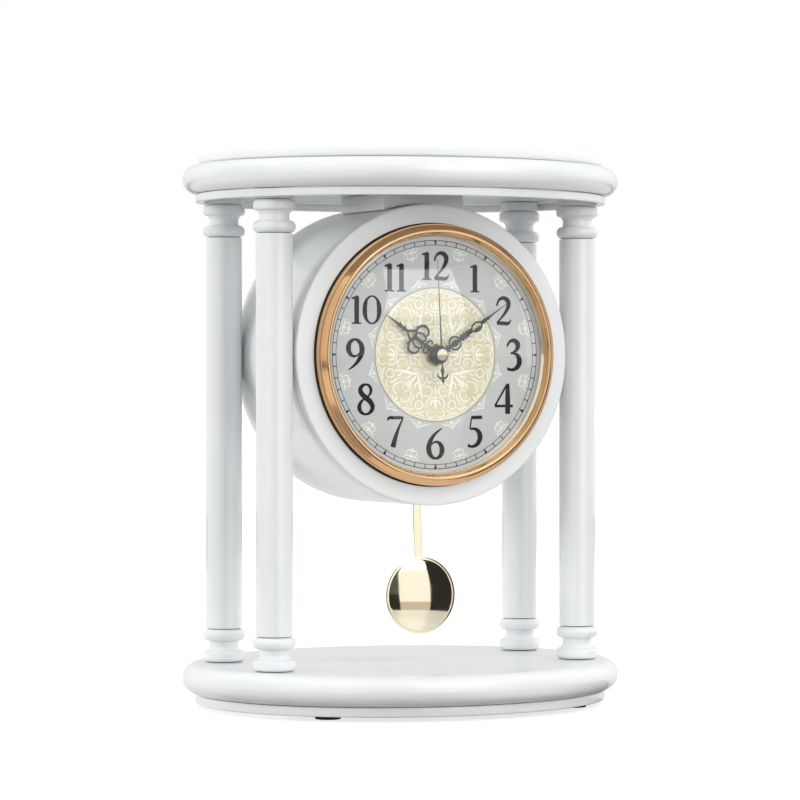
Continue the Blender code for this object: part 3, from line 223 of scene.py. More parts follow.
def plate(rims, thickness, edge, edge_segments=4, inner_edge=0.0):
    """A flat plate from Z 0 up. The first rim is its outline, the others are holes, each one
    given as half its width, half its depth, where its middle is, and its segments."""
    shape = bmesh.new()
    for half_x, half_y, (x, y), segments in rims:
        made = bmesh.ops.create_circle(shape, segments=segments, radius=1)["verts"]
        bmesh.ops.scale(shape, vec=(half_x, half_y, 1), verts=made)
        bmesh.ops.translate(shape, vec=(x, y, 0), verts=made)
        if len(rims) == 1:
            bmesh.ops.contextual_create(shape, geom=made)
    if len(rims) > 1:
        bmesh.ops.triangle_fill(shape, use_beauty=True, edges=shape.edges, normal=(0, 0, 1))
    push_up(shape, thickness)
    half_width, half_depth = rims[0][:2]

    def on_outline(line):
        return all(math.hypot(vertex.co.x / half_width, vertex.co.y / half_depth) > 0.999
                   for vertex in line.verts)

    corners = [line for line in level_edges(shape) if line.calc_face_angle(0) > 1]
    outer = [line for line in corners if on_outline(line)]
    if inner_edge:
        bevel(shape, [line for line in corners if not on_outline(line)], inner_edge, 2)
        outer = [line for line in level_edges(shape) if on_outline(line)]
    bevel(shape, outer, edge, edge_segments)
    bmesh.ops.remove_doubles(shape, verts=shape.verts, dist=1e-7)
    inset_flats(shape, flat_margin)
    return shape


def oval_board(name, node, edge, edge_segments=4, holes=(), finish=white_lacquer):
    """A board from the box of its CAD node. With no edge given, the edge is fully round."""
    low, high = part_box(node)
    rims = [((high.x - low.x) / 2, (high.y - low.y) / 2, (0, 0), oval_segments), *holes]
    shape = plate(rims, high.z - low.z, edge or (high.z - low.z) / 2, edge_segments)
    finish_part(name, shape, finish, Matrix.Translation((0, 0, low.z)), node)


oval_board("bullnose_base", "base_board", edge=None, edge_segments=12)
oval_board("bullnose_top", "top_board", edge=None, edge_segments=12)
oval_board("thin_cover", "top_cover", edge=2.0 * mm, edge_segments=6, finish=cover_lacquer)

# %% [markdown]
# ## The plinth and the lip
# The plinth has four round holes for the heads of the long bolts, so it's filled between an
# oval and four circles. The lip is a ring between two ovals under the top board. Its inner edge
# is rounded as well, because it catches the light from below.

# %% Plinth and lip
column_places = {}
for side in ("front_left", "front_right", "back_left", "back_right"):
    low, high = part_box("column_shaft_" + side)
    column_places[side] = ((low.x + high.x) / 2, (low.y + high.y) / 2)
bolt_hole, bolt_hole_segments = 5.3 * mm, 40
bolt_holes = [(bolt_hole, bolt_hole, place, bolt_hole_segments)
              for place in column_places.values()]
oval_board("plinth_with_bolt_holes", "base_plinth", edge=0.8 * mm, holes=bolt_holes)

low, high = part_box("top_lip")
lip_wall, lip_edge = 5.0 * mm, 0.7 * mm
lip_rims = [(high.x - wall, high.y - wall, (0, 0), oval_segments) for wall in (0, lip_wall)]
lip = plate(lip_rims, high.z - low.z, lip_edge, inner_edge=lip_edge)
finish_part("lip_under_top", lip, white_lacquer, Matrix.Translation((0, 0, low.z)), "top_lip")

# %% [markdown]
# ## Turned parts
# A lathe makes any part whose outline is the same all the way round. The outline is given as
# corners: how far from the axis, how high, and how much that corner is rounded. Each corner is
# a vertex, the vertices are joined by edges, and a vertex bevel rounds them. Spin then turns
# the line once around the axis and merges its last copy with its first. A long straight edge
# is split half a millimetre from each end first, which keeps its face flat under smooth
# shading.

# %% Lathe
long_edge, edge_margin = 3 * mm, 0.5 * mm


def spin_outline(shape, steps):
    bmesh.ops.remove_doubles(shape, verts=shape.verts, dist=1e-7)
    for line in list(shape.edges):
        length = line.calc_length()
        if length > long_edge:
            rest, corner = bmesh.utils.edge_split(line, line.verts[0], edge_margin / length)
            far = line if line.calc_length() > rest.calc_length() else rest
            bmesh.utils.edge_split(far, corner, 1 - edge_margin / length)
    bmesh.ops.spin(shape, geom=list(shape.verts) + list(shape.edges), cent=(0, 0, 0),
                   axis=(0, 0, 1), angle=2 * math.pi, steps=steps, use_merge=True)
    bmesh.ops.remove_doubles(shape, verts=shape.verts, dist=1e-7)
    bmesh.ops.dissolve_degenerate(shape, dist=1e-8, edges=shape.edges)
    bmesh.ops.recalc_face_normals(shape, faces=shape.faces)


def turned(corners, steps=96, closed=True, corner_segments=6):
    shape = bmesh.new()
    line = [shape.verts.new((radius, 0, height)) for radius, height, rounding in corners]
    for first, second in zip(line, line[1:]):
        shape.edges.new((first, second))
    if closed:
        shape.edges.new((line[-1], line[0]))
    for vertex, (radius, height, rounding) in zip(line, corners):
        if rounding:
            bevel(shape, [vertex], rounding, corner_segments, "VERTICES")
    spin_outline(shape, steps)
    return shape


def ring_outline(inner, outer, bottom, top, rounding=0.0):
    return [(inner, bottom, 0), (outer, bottom, rounding), (outer, top, rounding),
            (inner, top, 0)]

# %% [markdown]
# ## The columns
# Each column is four turned pieces on a long bolt: a base, a shaft, a capital and a spacer
# under the ceiling of the top. A capital has a half-round ring, a hollow neck and a thick disc,
# and a base is the same piece upside down. The shafts' ends are eased a little, so a fine dark
# line shows at each joint. The four columns are equal, so each piece is made four times from
# the same outline.

# %% Columns
bore, shaft_radius, spacer_radius = 2.8 * mm, 11.45 * mm, 12.35 * mm
turning_height = 20.9 * mm
ring_radius, ring_bead = 13.3 * mm, 3.9 * mm
neck_radius, neck_flat = 9.2 * mm, 1.8 * mm
disc_radius, disc_height, disc_edge = 13.4 * mm, 6.8 * mm, 2.4 * mm
disc_foot = turning_height - disc_height
neck_middle = (2 * ring_bead + disc_foot) / 2
capital_outline = [
    (bore, 0, 0), (ring_radius, 0, ring_bead * 0.999),
    (ring_radius, 2 * ring_bead, ring_bead * 0.999),
    (ring_radius - ring_bead, 2 * ring_bead, 0.3 * mm),
    (neck_radius, neck_middle - neck_flat / 2, 0.8 * mm),
    (neck_radius, neck_middle + neck_flat / 2, 0.8 * mm),
    (disc_radius - disc_edge, disc_foot, 0.5 * mm), (disc_radius, disc_foot, disc_edge),
    (disc_radius, turning_height, disc_edge), (bore, turning_height, 0)]
base_outline = [(radius, turning_height - height, rounding)
                for radius, height, rounding in capital_outline]


def plain_outline(node, radius, rounding):
    """A plain ring as high as its CAD node."""
    low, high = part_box(node)
    return ring_outline(bore, radius, 0, high.z - low.z, rounding)


shaft_outline = plain_outline("column_shaft_front_left", shaft_radius, 0.5 * mm)
spacer_outline = plain_outline("top_spacer_front_left", spacer_radius, 0.6 * mm)
for side, (x, y) in column_places.items():
    for name, node, outline in (("shaft_", "column_shaft_", shaft_outline),
                                ("capital_", "column_capital_", capital_outline),
                                ("foot_turning_", "column_base_", base_outline),
                                ("spacer_", "top_spacer_", spacer_outline)):
        low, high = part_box(node + side)
        finish_part(name + side, turned(outline), white_lacquer,
                    Matrix.Translation((x, y, low.z)), node + side)

# %% [markdown]
# ## Bolts and foot pads
# Seen from below, each bolt has a round head with a hexagonal socket, sunk in the plinth, and
# dark foam pads keep the clock off the table. The bolt is spun like the columns, and the socket
# is a six-sided face that is pushed in. Zinc-plated steel is a little blotchy, and foam is full
# of small cells, so both get noise in colour and bump.

# %% Bolts and pads
steel = new_finish("zinc_plated_steel", (0.55, 0.55, 0.54), 0.3, 1.0)
vary(steel, (260, 4), colours=((0.46, 0.47, 0.48), (0.62, 0.61, 0.58)), roughness=(0.22, 0.4))
vary(steel, (1500, 2), bump=0.01 * mm)

black_foam = new_finish("black_foam", (0.02, 0.02, 0.022), 0.9)
vary(black_foam, (1800, 3), colours=((0.008, 0.008, 0.009), (0.045, 0.045, 0.048)), bump=0.15 * mm)

bolt_radius, head_radius, head_height = 2.5 * mm, 5.0 * mm, 3.5 * mm
socket_radius, socket_depth = 2.6 * mm, 2.2 * mm
for side, (x, y) in column_places.items():
    low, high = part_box("column_tie_rod_" + side)
    length = high.z - low.z
    bolt = turned([(0, length, 0), (bolt_radius, length, 0.6 * mm),
                   (bolt_radius, head_height, 0), (head_radius, head_height, 0.3 * mm),
                   (head_radius, 0, 0.5 * mm), (socket_radius, 0, 0)], steps=48, closed=False)
    rim = [line for line in bolt.edges if line.is_boundary]
    sunk = bmesh.ops.extrude_edge_only(bolt, edges=rim)["geom"]
    deep = [item for item in sunk if isinstance(item, bmesh.types.BMVert)]
    bmesh.ops.translate(bolt, vec=(0, 0, socket_depth), verts=deep)
    bmesh.ops.contextual_create(bolt, geom=deep)
    bmesh.ops.recalc_face_normals(bolt, faces=bolt.faces)
    finish_part("bolt_" + side, bolt, steel, Matrix.Translation((x, y, low.z)),
                "column_tie_rod_" + side)
    low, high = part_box("foot_pad_" + side)
    pad_radius = (high.x - low.x) / 2
    pad = turned([(0, 0, 0), (pad_radius, 0, 0.5 * mm), (pad_radius, high.z, 0.3 * mm),
                  (0, high.z, 0)], steps=64, closed=False)
    pad_place = Matrix.Translation(((low.x + high.x) / 2, (low.y + high.y) / 2, 0))
    finish_part("pad_" + side, pad, black_foam, pad_place, "foot_pad_" + side)

# %% [markdown]
# ## The drum
# The drum is a ring of lacquered wood, closed in front by a panel and behind by a cover that
# lifts out. Its axis points forward, so its pieces are turned upright on the lathe and then
# laid over by one matrix. The pendulum hangs through a long slot cut across the underside. The
# cutter is a rectangle whose four corners are rounded until its ends are half circles. It is
# made thick, cut across many times, and bent round the drum, and then a Boolean takes it away.

# %% Drum shell with its slot
dial_low, dial_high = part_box("dial")
drum_height = (dial_low.z + dial_high.z) / 2
face_place = Matrix.Translation((0, 0, drum_height)) @ Matrix.Rotation(math.radians(90), 4, "X")
drum_radius, drum_wall = 95.3 * mm, 8.0 * mm
shell_front, shell_back = 40.2 * mm, -50.0 * mm
ledge_radius, rebate = 90.0 * mm, -43.2 * mm
drum_steps = 192

shell = turned([
    (drum_radius - drum_wall, shell_front, 0.4 * mm), (drum_radius, shell_front, 0.45 * mm),
    (drum_radius, shell_back, 1.6 * mm), (ledge_radius, shell_back, 0.8 * mm),
    (ledge_radius, rebate, 0), (drum_radius - drum_wall, rebate, 0.4 * mm)], drum_steps)

slot_width, slot_reach, slot_middle = 13.5 * mm, math.radians(49), 16.0 * mm
slot_edge = 0.8 * mm
middle_radius = drum_radius - drum_wall / 2
half_length = slot_reach * middle_radius
cross_cuts = 80
cutter = bmesh.new()
bmesh.ops.create_grid(cutter, x_segments=1, y_segments=1, size=1)
bmesh.ops.scale(cutter, vec=(half_length, slot_width / 2, 1), verts=cutter.verts)
bevel(cutter, cutter.verts, slot_width / 2 * 0.998, 10, "VERTICES")
push_up(cutter, 3 * drum_wall)
for cut in range(1, cross_cuts):
    across = -half_length + 2 * half_length * cut / cross_cuts
    bmesh.ops.bisect_plane(cutter, geom=list(cutter.verts) + list(cutter.edges)
                           + list(cutter.faces), plane_co=(across, 0, 0), plane_no=(1, 0, 0))
for vertex in cutter.verts:
    along, across, depth = vertex.co
    angle = along / middle_radius
    radius = drum_radius - 2 * drum_wall + depth
    vertex.co = (radius * math.sin(angle), -radius * math.cos(angle), slot_middle + across)
bmesh.ops.recalc_face_normals(cutter, faces=cutter.faces)


def cut_away(body_shape, cutter_shape):
    """The body less the cutter, as a bmesh. Both helper objects are removed again."""
    block, knife = as_object("block", body_shape), as_object("knife", cutter_shape)
    boolean = block.modifiers.new("cut", "BOOLEAN")
    boolean.operation = "DIFFERENCE"
    boolean.solver = "EXACT"
    boolean.object = knife
    graph = bpy.context.evaluated_depsgraph_get()
    result = bmesh.new()
    result.from_mesh(block.evaluated_get(graph).to_mesh())
    bpy.data.objects.remove(block)
    bpy.data.objects.remove(knife)
    return result


def on_slot_rim(line):
    return line.calc_face_angle(0) > 1 and all(
        abs(math.hypot(vertex.co.x, vertex.co.y) - drum_radius) < 0.06 * mm
        and abs(vertex.co.z - slot_middle) < 0.52 * slot_width for vertex in line.verts)


shell = cut_away(shell, cutter)
slot_rim = [line for line in shell.edges if on_slot_rim(line)]
bevel(shell, slot_rim, slot_edge, 3)
print("slot rim edges:", len(slot_rim))
finish_part("drum_with_slot", shell, white_lacquer, face_place, "drum_shell", sharp_angle=30)

# %% [markdown]
# ## Front panel, back cover and saddle block
# The panel is a plain turned disc. It sits a hair in front of the shell, so their joint shows
# as a fine dark line round the drum. The back cover is a plate with a finger hole. The saddle
# block joins the drum to the top: the arc of its hollow side is drawn by spinning one vertex,
# the outline is closed over it, and the face is extruded.

# %% Front panel, back cover and saddle block
panel_back, panel_front = 40.5 * mm, 46.5 * mm
bush_hole = 4.3 * mm
panel = turned([(bush_hole, panel_front, 0), (drum_radius, panel_front, 1.3 * mm),
                (drum_radius, panel_back, 0.45 * mm), (bush_hole, panel_back, 0)], drum_steps)
finish_part("drum_face", panel, white_lacquer, face_place, "front_panel")

cover_low, cover_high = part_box("back_cover")
cover_radius = (cover_high.x - cover_low.x) / 2
cover_edge = 0.8 * mm
finger_hole, finger_hole_height = 9.0 * mm, 62.0 * mm
cover = plate([(cover_radius, cover_radius, (0, 0), drum_steps),
               (finger_hole, finger_hole, (0, finger_hole_height), 64)],
              cover_high.y - cover_low.y, cover_edge, inner_edge=cover_edge)
finish_part("cover_with_finger_hole", cover, white_lacquer,
            face_place @ Matrix.Translation((0, 0, -cover_high.y)), "back_cover",
            body="drum_back")

block_low, block_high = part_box("drum_mount_block")
saddle_radius, saddle_edge = 95.6 * mm, 0.5 * mm
half_width = block_high.x
block_top = block_high.z - drum_height
saddle_angle = math.asin(half_width / saddle_radius)
block = bmesh.new()
start = block.verts.new((half_width, saddle_radius * math.cos(saddle_angle), 0))
bmesh.ops.spin(block, geom=[start], cent=(0, 0, 0), axis=(0, 0, 1), angle=2 * saddle_angle,
               steps=32)
arc_ends = sorted(block.verts, key=lambda vertex: vertex.co.x)
top_corners = [block.verts.new((x, block_top, 0)) for x in (-half_width, half_width)]
for ends in ((arc_ends[0], top_corners[0]), top_corners, (top_corners[1], arc_ends[-1])):
    block.edges.new(ends)
bmesh.ops.contextual_create(block, geom=block.edges)
push_up(block, block_high.y - block_low.y)
corners = [line for line in block.edges if line.calc_face_angle(0) > 1]
bevel(block, corners, saddle_edge, 3, clamp=True)
finish_part("saddle_block", block, white_lacquer,
            face_place @ Matrix.Translation((0, 0, block_low.y)), "drum_mount_block")

# %% [markdown]
# ## Rose gold and brass
# The bezel is spun aluminium or brass with a rose-gold finish. Brushing on a lathe leaves fine
# rings, so the noise is read in a stretched space where it only changes with the distance from
# the axis. The rod, the bob and the cap are polished brass, which shows soft smears and tiny
# scratches rather than rings.

# %% Gold finishes
def add_ring_noise(finish, scale):
    """Noise that is the same all the way round the drum's axis."""
    place = add_node(finish, "TexCoord").outputs["Object"]
    centred = add_node(finish, "Mapping", Vector=place, Location=(0, 0, -drum_height))
    split = add_node(finish, "SeparateXYZ", centred.outputs["Vector"]).outputs
    flat = add_node(finish, "CombineXYZ", X=split["X"], Z=split["Z"])
    length = add_node(finish, "VectorMath", flat.outputs["Vector"])
    length.operation = "LENGTH"
    rings = add_node(finish, "CombineXYZ", X=length.outputs["Value"], Y=split["Y"])
    noise = add_node(finish, "TexNoise", Vector=rings.outputs["Vector"], Scale=scale, Detail=3)
    return noise.outputs["Fac"]


rose_gold = new_finish("rose_gold", (0.84, 0.50, 0.26), 0.2, 1.0)
vary(rose_gold, add_ring_noise(rose_gold, 2600), colours=((0.77, 0.45, 0.22), (0.88, 0.56, 0.31)),
     roughness=(0.11, 0.19), bump=0.012 * mm)

ring_gold = new_finish("polished_ring_gold", (0.92, 0.82, 0.64), 0.1, 1.0)
vary(ring_gold, add_ring_noise(ring_gold, 3000), roughness=(0.06, 0.14))

pale_brass = new_finish("pale_brass", (0.95, 0.87, 0.67), 0.07, 1.0)
vary(pale_brass, (120, 4), colours=((0.94, 0.85, 0.64), (0.96, 0.89, 0.70)), roughness=(0.04, 0.11))
print("finishes:", rose_gold.name, ring_gold.name, pale_brass.name)

# %% [markdown]
# ## Bezel and inner ring
# The bezel has a slope up from the glass, a bright crest, a slope outwards and a fine groove
# before its outer wall. Behind it lies a thin near-black ring of painted shadow, which stands for
# the shade in the gap between the bezel and the drum face. The inner ring slopes down to the
# dial like a funnel, so it mirrors the room in front of the clock.

# %% Bezel and inner ring
def drum_ring(corners_in_mm, corner_segments=3):
    """A ring on the drum, from corners in millimetres."""
    return turned([(radius * mm, depth * mm, rounding * mm)
                   for radius, depth, rounding in corners_in_mm], drum_steps,
                  corner_segments=corner_segments)


bezel = drum_ring([
    (75.4, 53.1, 0.15), (75.4, 53.9, 0.3), (77.0, 57.2, 0.5), (78.8, 57.2, 0.6),
    (81.9, 54.3, 0.35), (81.9, 52.5, 0.15), (82.6, 52.5, 0.25), (82.6, 46.8, 0.2),
    (77.5, 46.8, 0), (77.5, 53.1, 0)], corner_segments=5)
finish_part("rose_gold_bezel", bezel, rose_gold, face_place, "bezel")

# gap_shade is painted shadow: a near-black brown ring where the gap behind the bezel lies in shade.
gap_shade = new_finish("gap_shade", (0.035, 0.02, 0.012), 0.8)
vary(gap_shade, add_ring_noise(gap_shade, 900), roughness=(0.7, 0.9))
shadow_gap = drum_ring([(82.5, 46.5, 0), (82.5, 47.0, 0), (83.4, 47.0, 0.1), (83.4, 46.5, 0)])
finish_part("painted_shadow_gap_ring", shadow_gap, gap_shade, face_place)

inner_ring = drum_ring([(74.4, 48.5, 0), (74.4, 49.3, 0.2), (77.2, 50.9, 0), (77.2, 48.5, 0)])
finish_part("sloped_inner_ring", inner_ring, ring_gold, face_place, "sight_ring")

# %% [markdown]
# ## Clear glass
# Real glass bends light and reflects some of it. A plain glass shader also throws a dark
# shadow in a path tracer, because lamps can't shine straight through it. Mixing in a
# transparent shader for shadow rays and diffuse rays lets the room light the dial behind.
# The glass is a shallow dome: one vertex spun about the middle of a large sphere draws the
# dome's arc, and that arc is then spun into a shell with a flat flange.

# %% Glass dome
def show_mix(finish, output, share, first, second):
    """Shows two shaders mixed, by the share that the second one has."""
    mix = add_node(finish, "MixShader", share, first, second)
    set_inputs(finish.node_tree.nodes[output], Surface=mix.outputs["Shader"])


def math_node(finish, operation, *values):
    """Works out one sum in a shader."""
    node = add_node(finish, "Math", *values)
    node.operation = operation
    return node.outputs["Value"]


clear_glass = new_finish("clear_glass", (1, 1, 1), 0.0, Transmission_Weight=1, IOR=1.62)
rays = add_node(clear_glass, "LightPath").outputs
unseen = math_node(clear_glass, "MAXIMUM", rays["Is Shadow Ray"], rays["Is Diffuse Ray"])
let_through = add_node(clear_glass, "BsdfTransparent").outputs["BSDF"]
show_mix(clear_glass, "Material Output", unseen, shader_of(clear_glass).outputs["BSDF"],
         let_through)
vary(clear_glass, (90, 5), roughness=(0.0, 0.03), band=(0.55, 0.8))


def dome_arc(shape, reach, rise, top, steps):
    """Draws a dome's outline from its top outwards, and gives back the vertex at its foot."""
    sphere_radius = (reach**2 + rise**2) / (2 * rise)
    known = set(shape.verts)
    apex = shape.verts.new((0, 0, top))
    bmesh.ops.spin(shape, geom=[apex], cent=(0, 0, top - sphere_radius), axis=(0, 1, 0),
                   angle=math.asin(reach / sphere_radius), steps=steps)
    return max((vertex for vertex in shape.verts if vertex not in known),
               key=lambda vertex: vertex.co.x)


flange_inner, flange_outer = 74.8 * mm, 77.2 * mm
glass_back, glass_thickness = 51.2 * mm, 1.6 * mm
lens_front = -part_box("lens")[0].y
dome_rise = lens_front - glass_back - glass_thickness
glass = bmesh.new()
rims = [dome_arc(glass, flange_inner, dome_rise, depth + dome_rise, 40)
        for depth in (glass_back, glass_back + glass_thickness)]
outer = [glass.verts.new((flange_outer, 0, rim.co.z)) for rim in rims]
for ends in ((rims[0], outer[0]), outer, (outer[1], rims[1])):
    glass.edges.new(ends)
spin_outline(glass, drum_steps)
finish_part("glass_dome", glass, clear_glass, face_place, "lens")
print("the dome rises", round(dome_rise / mm, 1), "mm")

# %% [markdown]
# ## The dial
# The dial is a thin metal plate with a satin silver face. A satin face is brushed in one
# direction, so its noise is stretched sideways: it hardly changes along X and quickly along Z.
# There is only a little metal in it, which keeps it light grey from every side.

# %% Dial plate
satin_silver = new_finish("satin_silver", (0.595, 0.615, 0.605), 0.42, 0.15)
vary(satin_silver, (500, 3, (0.06, 1, 6)), colours=((0.565, 0.585, 0.575), (0.625, 0.645, 0.635)),
     roughness=(0.36, 0.48), bump=0.004 * mm)

dial_radius, dial_back, dial_front = 77.2 * mm, 46.8 * mm, 48.2 * mm
dial = turned([(bush_hole, dial_front, 0.1 * mm), (dial_radius, dial_front, 0.1 * mm),
               (dial_radius, dial_back, 0), (bush_hole, dial_back, 0)], drum_steps)
finish_part("dial_plate", dial, satin_silver, face_place, "dial")

# %% [markdown]
# ## Drawing with strokes
# Numbers, scrolls and hands are all strokes that swell and thin. A Bezier curve does this well:
# each point has a place and a radius, automatic handles round the path, and a round bevel gives
# it body. The curve is turned into a mesh and pressed flat. The flattening keeps a slight dome,
# so strokes that cross don't share a surface. A stroke that comes back to its first point
# is closed into a loop.

# %% Strokes
# The depth over which a round stroke is pressed flat.
press_depth = 0.35 * mm


def strokes(paths, height, resolution=8, roundness=2):
    """Flattened strokes as a bmesh. A path is a list of points (x, y, half its width), which
    repeats its first point at the end if it is a loop. The strokes rise to about the height
    on both sides of Z 0."""
    curve = bpy.data.curves.new("strokes", "CURVE")
    curve.dimensions = "3D"
    curve.bevel_depth = 1
    curve.bevel_resolution = roundness
    curve.resolution_u = resolution
    curve.use_fill_caps = True
    for points in paths:
        loop = points[0] == points[-1]
        if loop:
            points = points[:-1]
        spline = curve.splines.new("BEZIER")
        spline.bezier_points.add(len(points) - 1)
        spline.use_cyclic_u = loop
        for bezier, (x, y, half_width) in zip(spline.bezier_points, points):
            bezier.co = (x, y, 0)
            bezier.radius = half_width
            bezier.handle_left_type = bezier.handle_right_type = "AUTO"
    drawn = bpy.data.objects.new("strokes", curve)
    bpy.context.scene.collection.objects.link(drawn)
    graph = bpy.context.evaluated_depsgraph_get()
    shape = bmesh.new()
    shape.from_mesh(drawn.evaluated_get(graph).to_mesh())
    bpy.data.objects.remove(drawn)
    bpy.data.curves.remove(curve)
    bmesh.ops.remove_doubles(shape, verts=shape.verts, dist=1e-8)
    for vertex in shape.verts:
        pressed = height * (1 - math.exp(-abs(vertex.co.z) / press_depth))
        vertex.co.z = math.copysign(pressed, vertex.co.z)
    bmesh.ops.recalc_face_normals(shape, faces=shape.faces)
    return shape


def scaled(paths, size, widening=1.0, left=0.0, foot=0.0):
    """The paths at another size and place. The widening changes only how broad they are."""
    return [[(left + x * size, foot + y * size, half * size * widening)
             for x, y, half in points] for points in paths]


def mirrored(paths):
    """The paths of a right half together with those of its left half."""
    return paths + [[(-x, y, half) for x, y, half in points] for points in paths]

# %% [markdown]
# ## The numbers
# The hour numbers are upright and have thick and thin strokes, like the type of old books.
# Each digit is drawn in a box one unit high, and a number is one or two digits side by side,
# centred on a circle just inside the minute track. A nine is a six turned round. The ink is
# almost black and matt, with a little unevenness as in screen printing.

# %% Hour numbers
dial_ink = new_finish("dial_ink", (0.005, 0.006, 0.006), 0.55, Specular_IOR_Level=0.08)
vary(dial_ink, (1200, 3), colours=((0.003, 0.004, 0.004), (0.008, 0.009, 0.009)),
     roughness=(0.5, 0.65))

thick, thin, slim = 0.072, 0.022, 0.034
boldness = 1.3
digits = {
    "0": (0.66, [
        [(0.33, 0.985, thin), (0.16, 0.90, slim), (0.065, 0.70, 0.062), (0.05, 0.5, thick),
         (0.065, 0.30, 0.062), (0.16, 0.10, slim), (0.33, 0.015, thin), (0.50, 0.10, slim),
         (0.595, 0.30, 0.062), (0.61, 0.5, thick), (0.595, 0.70, 0.062), (0.50, 0.90, slim),
         (0.33, 0.985, thin)]]),
    "1": (0.40, [
        [(0.20, 0.02, thick), (0.20, 0.5, thick), (0.20, 0.97, thick)],
        [(0.25, 0.975, slim), (0.12, 0.925, slim), (0.0, 0.90, thin)],
        [(0.02, 0.02, thin), (0.20, 0.025, thin), (0.38, 0.02, thin)]]),
    "2": (0.62, [
        [(0.04, 0.68, 0.03), (0.08, 0.82, 0.03), (0.20, 0.945, 0.045), (0.36, 0.95, 0.06),
         (0.49, 0.84, thick), (0.50, 0.68, 0.066), (0.40, 0.47, 0.045), (0.22, 0.25, 0.03),
         (0.04, 0.06, 0.03)],
        [(0.04, 0.06, 0.05), (0.25, 0.055, 0.055), (0.50, 0.055, 0.05), (0.56, 0.10, 0.03),
         (0.60, 0.19, 0.018)]]),
    "3": (0.56, [
        [(0.03, 0.76, 0.02), (0.07, 0.87, 0.03), (0.18, 0.96, 0.045), (0.32, 0.95, 0.06),
         (0.415, 0.84, thick), (0.39, 0.70, 0.055), (0.27, 0.59, 0.03), (0.15, 0.55, thin)],
        [(0.15, 0.55, thin), (0.30, 0.545, 0.032), (0.43, 0.45, 0.06), (0.475, 0.30, thick),
         (0.42, 0.13, 0.065), (0.28, 0.03, 0.045), (0.14, 0.02, 0.035), (0.03, 0.06, 0.04)]]),
    "4": (0.70, [
        [(0.49, 0.99, 0.03), (0.26, 0.63, 0.026), (0.03, 0.27, 0.026)],
        [(0.03, 0.27, 0.034), (0.34, 0.27, 0.034), (0.69, 0.27, 0.034)],
        [(0.50, 0.01, 0.07), (0.50, 0.5, 0.07), (0.50, 0.99, 0.05)]]),
    "5": (0.56, [
        [(0.15, 0.95, 0.042), (0.34, 0.95, 0.045), (0.54, 0.955, 0.042)],
        [(0.16, 0.95, 0.02), (0.13, 0.77, 0.02), (0.10, 0.58, 0.02)],
        [(0.10, 0.57, 0.022), (0.25, 0.585, 0.034), (0.40, 0.50, 0.058), (0.465, 0.34, thick),
         (0.42, 0.16, 0.062), (0.29, 0.04, 0.045), (0.14, 0.01, 0.034), (0.02, 0.055, 0.04)]]),
    "6": (0.60, [
        [(0.54, 0.99, 0.014), (0.36, 0.87, 0.03), (0.18, 0.68, 0.05), (0.075, 0.46, 0.068),
         (0.065, 0.28, thick), (0.14, 0.11, 0.055), (0.30, 0.02, 0.03), (0.46, 0.09, 0.05),
         (0.535, 0.27, thick), (0.49, 0.45, 0.058), (0.36, 0.55, 0.034), (0.22, 0.52, 0.022),
         (0.11, 0.42, 0.02)]]),
    "7": (0.60, [
        [(0.02, 0.86, 0.015), (0.06, 0.945, 0.035), (0.20, 0.955, 0.042), (0.40, 0.955, 0.042),
         (0.585, 0.955, 0.034)],
        [(0.57, 0.95, 0.02), (0.43, 0.66, 0.032), (0.31, 0.36, 0.055), (0.21, 0.01, 0.072)]]),
    "8": (0.60, [
        [(0.30, 0.975, 0.025), (0.15, 0.91, 0.05), (0.10, 0.79, 0.062), (0.17, 0.66, 0.066),
         (0.31, 0.54, 0.07), (0.46, 0.41, 0.068), (0.53, 0.25, 0.062), (0.45, 0.09, 0.045),
         (0.29, 0.025, 0.028), (0.13, 0.09, 0.045), (0.065, 0.24, 0.06), (0.12, 0.41, 0.04),
         (0.25, 0.52, 0.022), (0.40, 0.62, 0.026), (0.475, 0.77, 0.042), (0.43, 0.91, 0.04),
         (0.30, 0.975, 0.025)]]),
}
six_width, six_paths = digits["6"]
digits["9"] = (six_width, [[(six_width - x, 1 - y, half) for x, y, half in points]
                           for points in six_paths])

number_radius, short_digit, tall_digit, digit_gap = 55.8 * mm, 17.6 * mm, 19.5 * mm, 0.07
number_paths = []
for hour in range(1, 13):
    text = str(hour)
    size = short_digit if hour in (1, 2, 10, 11, 12) else tall_digit
    width = sum(digits[digit][0] for digit in text) + digit_gap * (len(text) - 1)
    angle = math.radians(90 - 30 * hour)
    left = number_radius * math.cos(angle) - width * size / 2
    foot = number_radius * math.sin(angle) - size / 2
    for digit in text:
        digit_width, paths = digits[digit]
        number_paths += scaled(paths, size, boldness, left, foot)
        left += (digit_width + digit_gap) * size
on_dial = face_place @ Matrix.Translation((0, 0, dial_front))
ink_height = 0.06 * mm
numbers = strokes(number_paths, ink_height, resolution=6)
finish_part("hour_numbers", numbers, dial_ink, on_dial)

# %% [markdown]
# ## Minute track
# Two thin circles and sixty short lines make a railway round the dial, with a small triangle
# at each five minutes. One tick and one triangle are modelled at twelve o'clock, and spin with
# use_duplicate repeats them round the axis.

# %% Minute track
track_inner, track_outer, line_half = 69.0 * mm, 71.8 * mm, 0.17 * mm
tick_half, triangle_half, triangle_tip = 0.28 * mm, 1.0 * mm, 0.9 * mm
outer_line_half = 1.3 * line_half
print_bottom, tick_top, triangle_top, print_height = -0.05 * mm, 0.04 * mm, 0.055 * mm, 0.05 * mm


def lift(shape, height):
    bmesh.ops.translate(shape, vec=(0, 0, height), verts=shape.verts)


def repeat_round(shape, count):
    geometry = list(shape.verts) + list(shape.edges) + list(shape.faces)
    step = 2 * math.pi / count
    bmesh.ops.spin(shape, geom=geometry, cent=(0, 0, 0), axis=(0, 0, 1),
                   angle=step * (count - 1), steps=count - 1, use_duplicate=True)


def printed_ring(middle, half_width, top):
    return turned(ring_outline(middle - half_width, middle + half_width, print_bottom, top),
                  drum_steps)


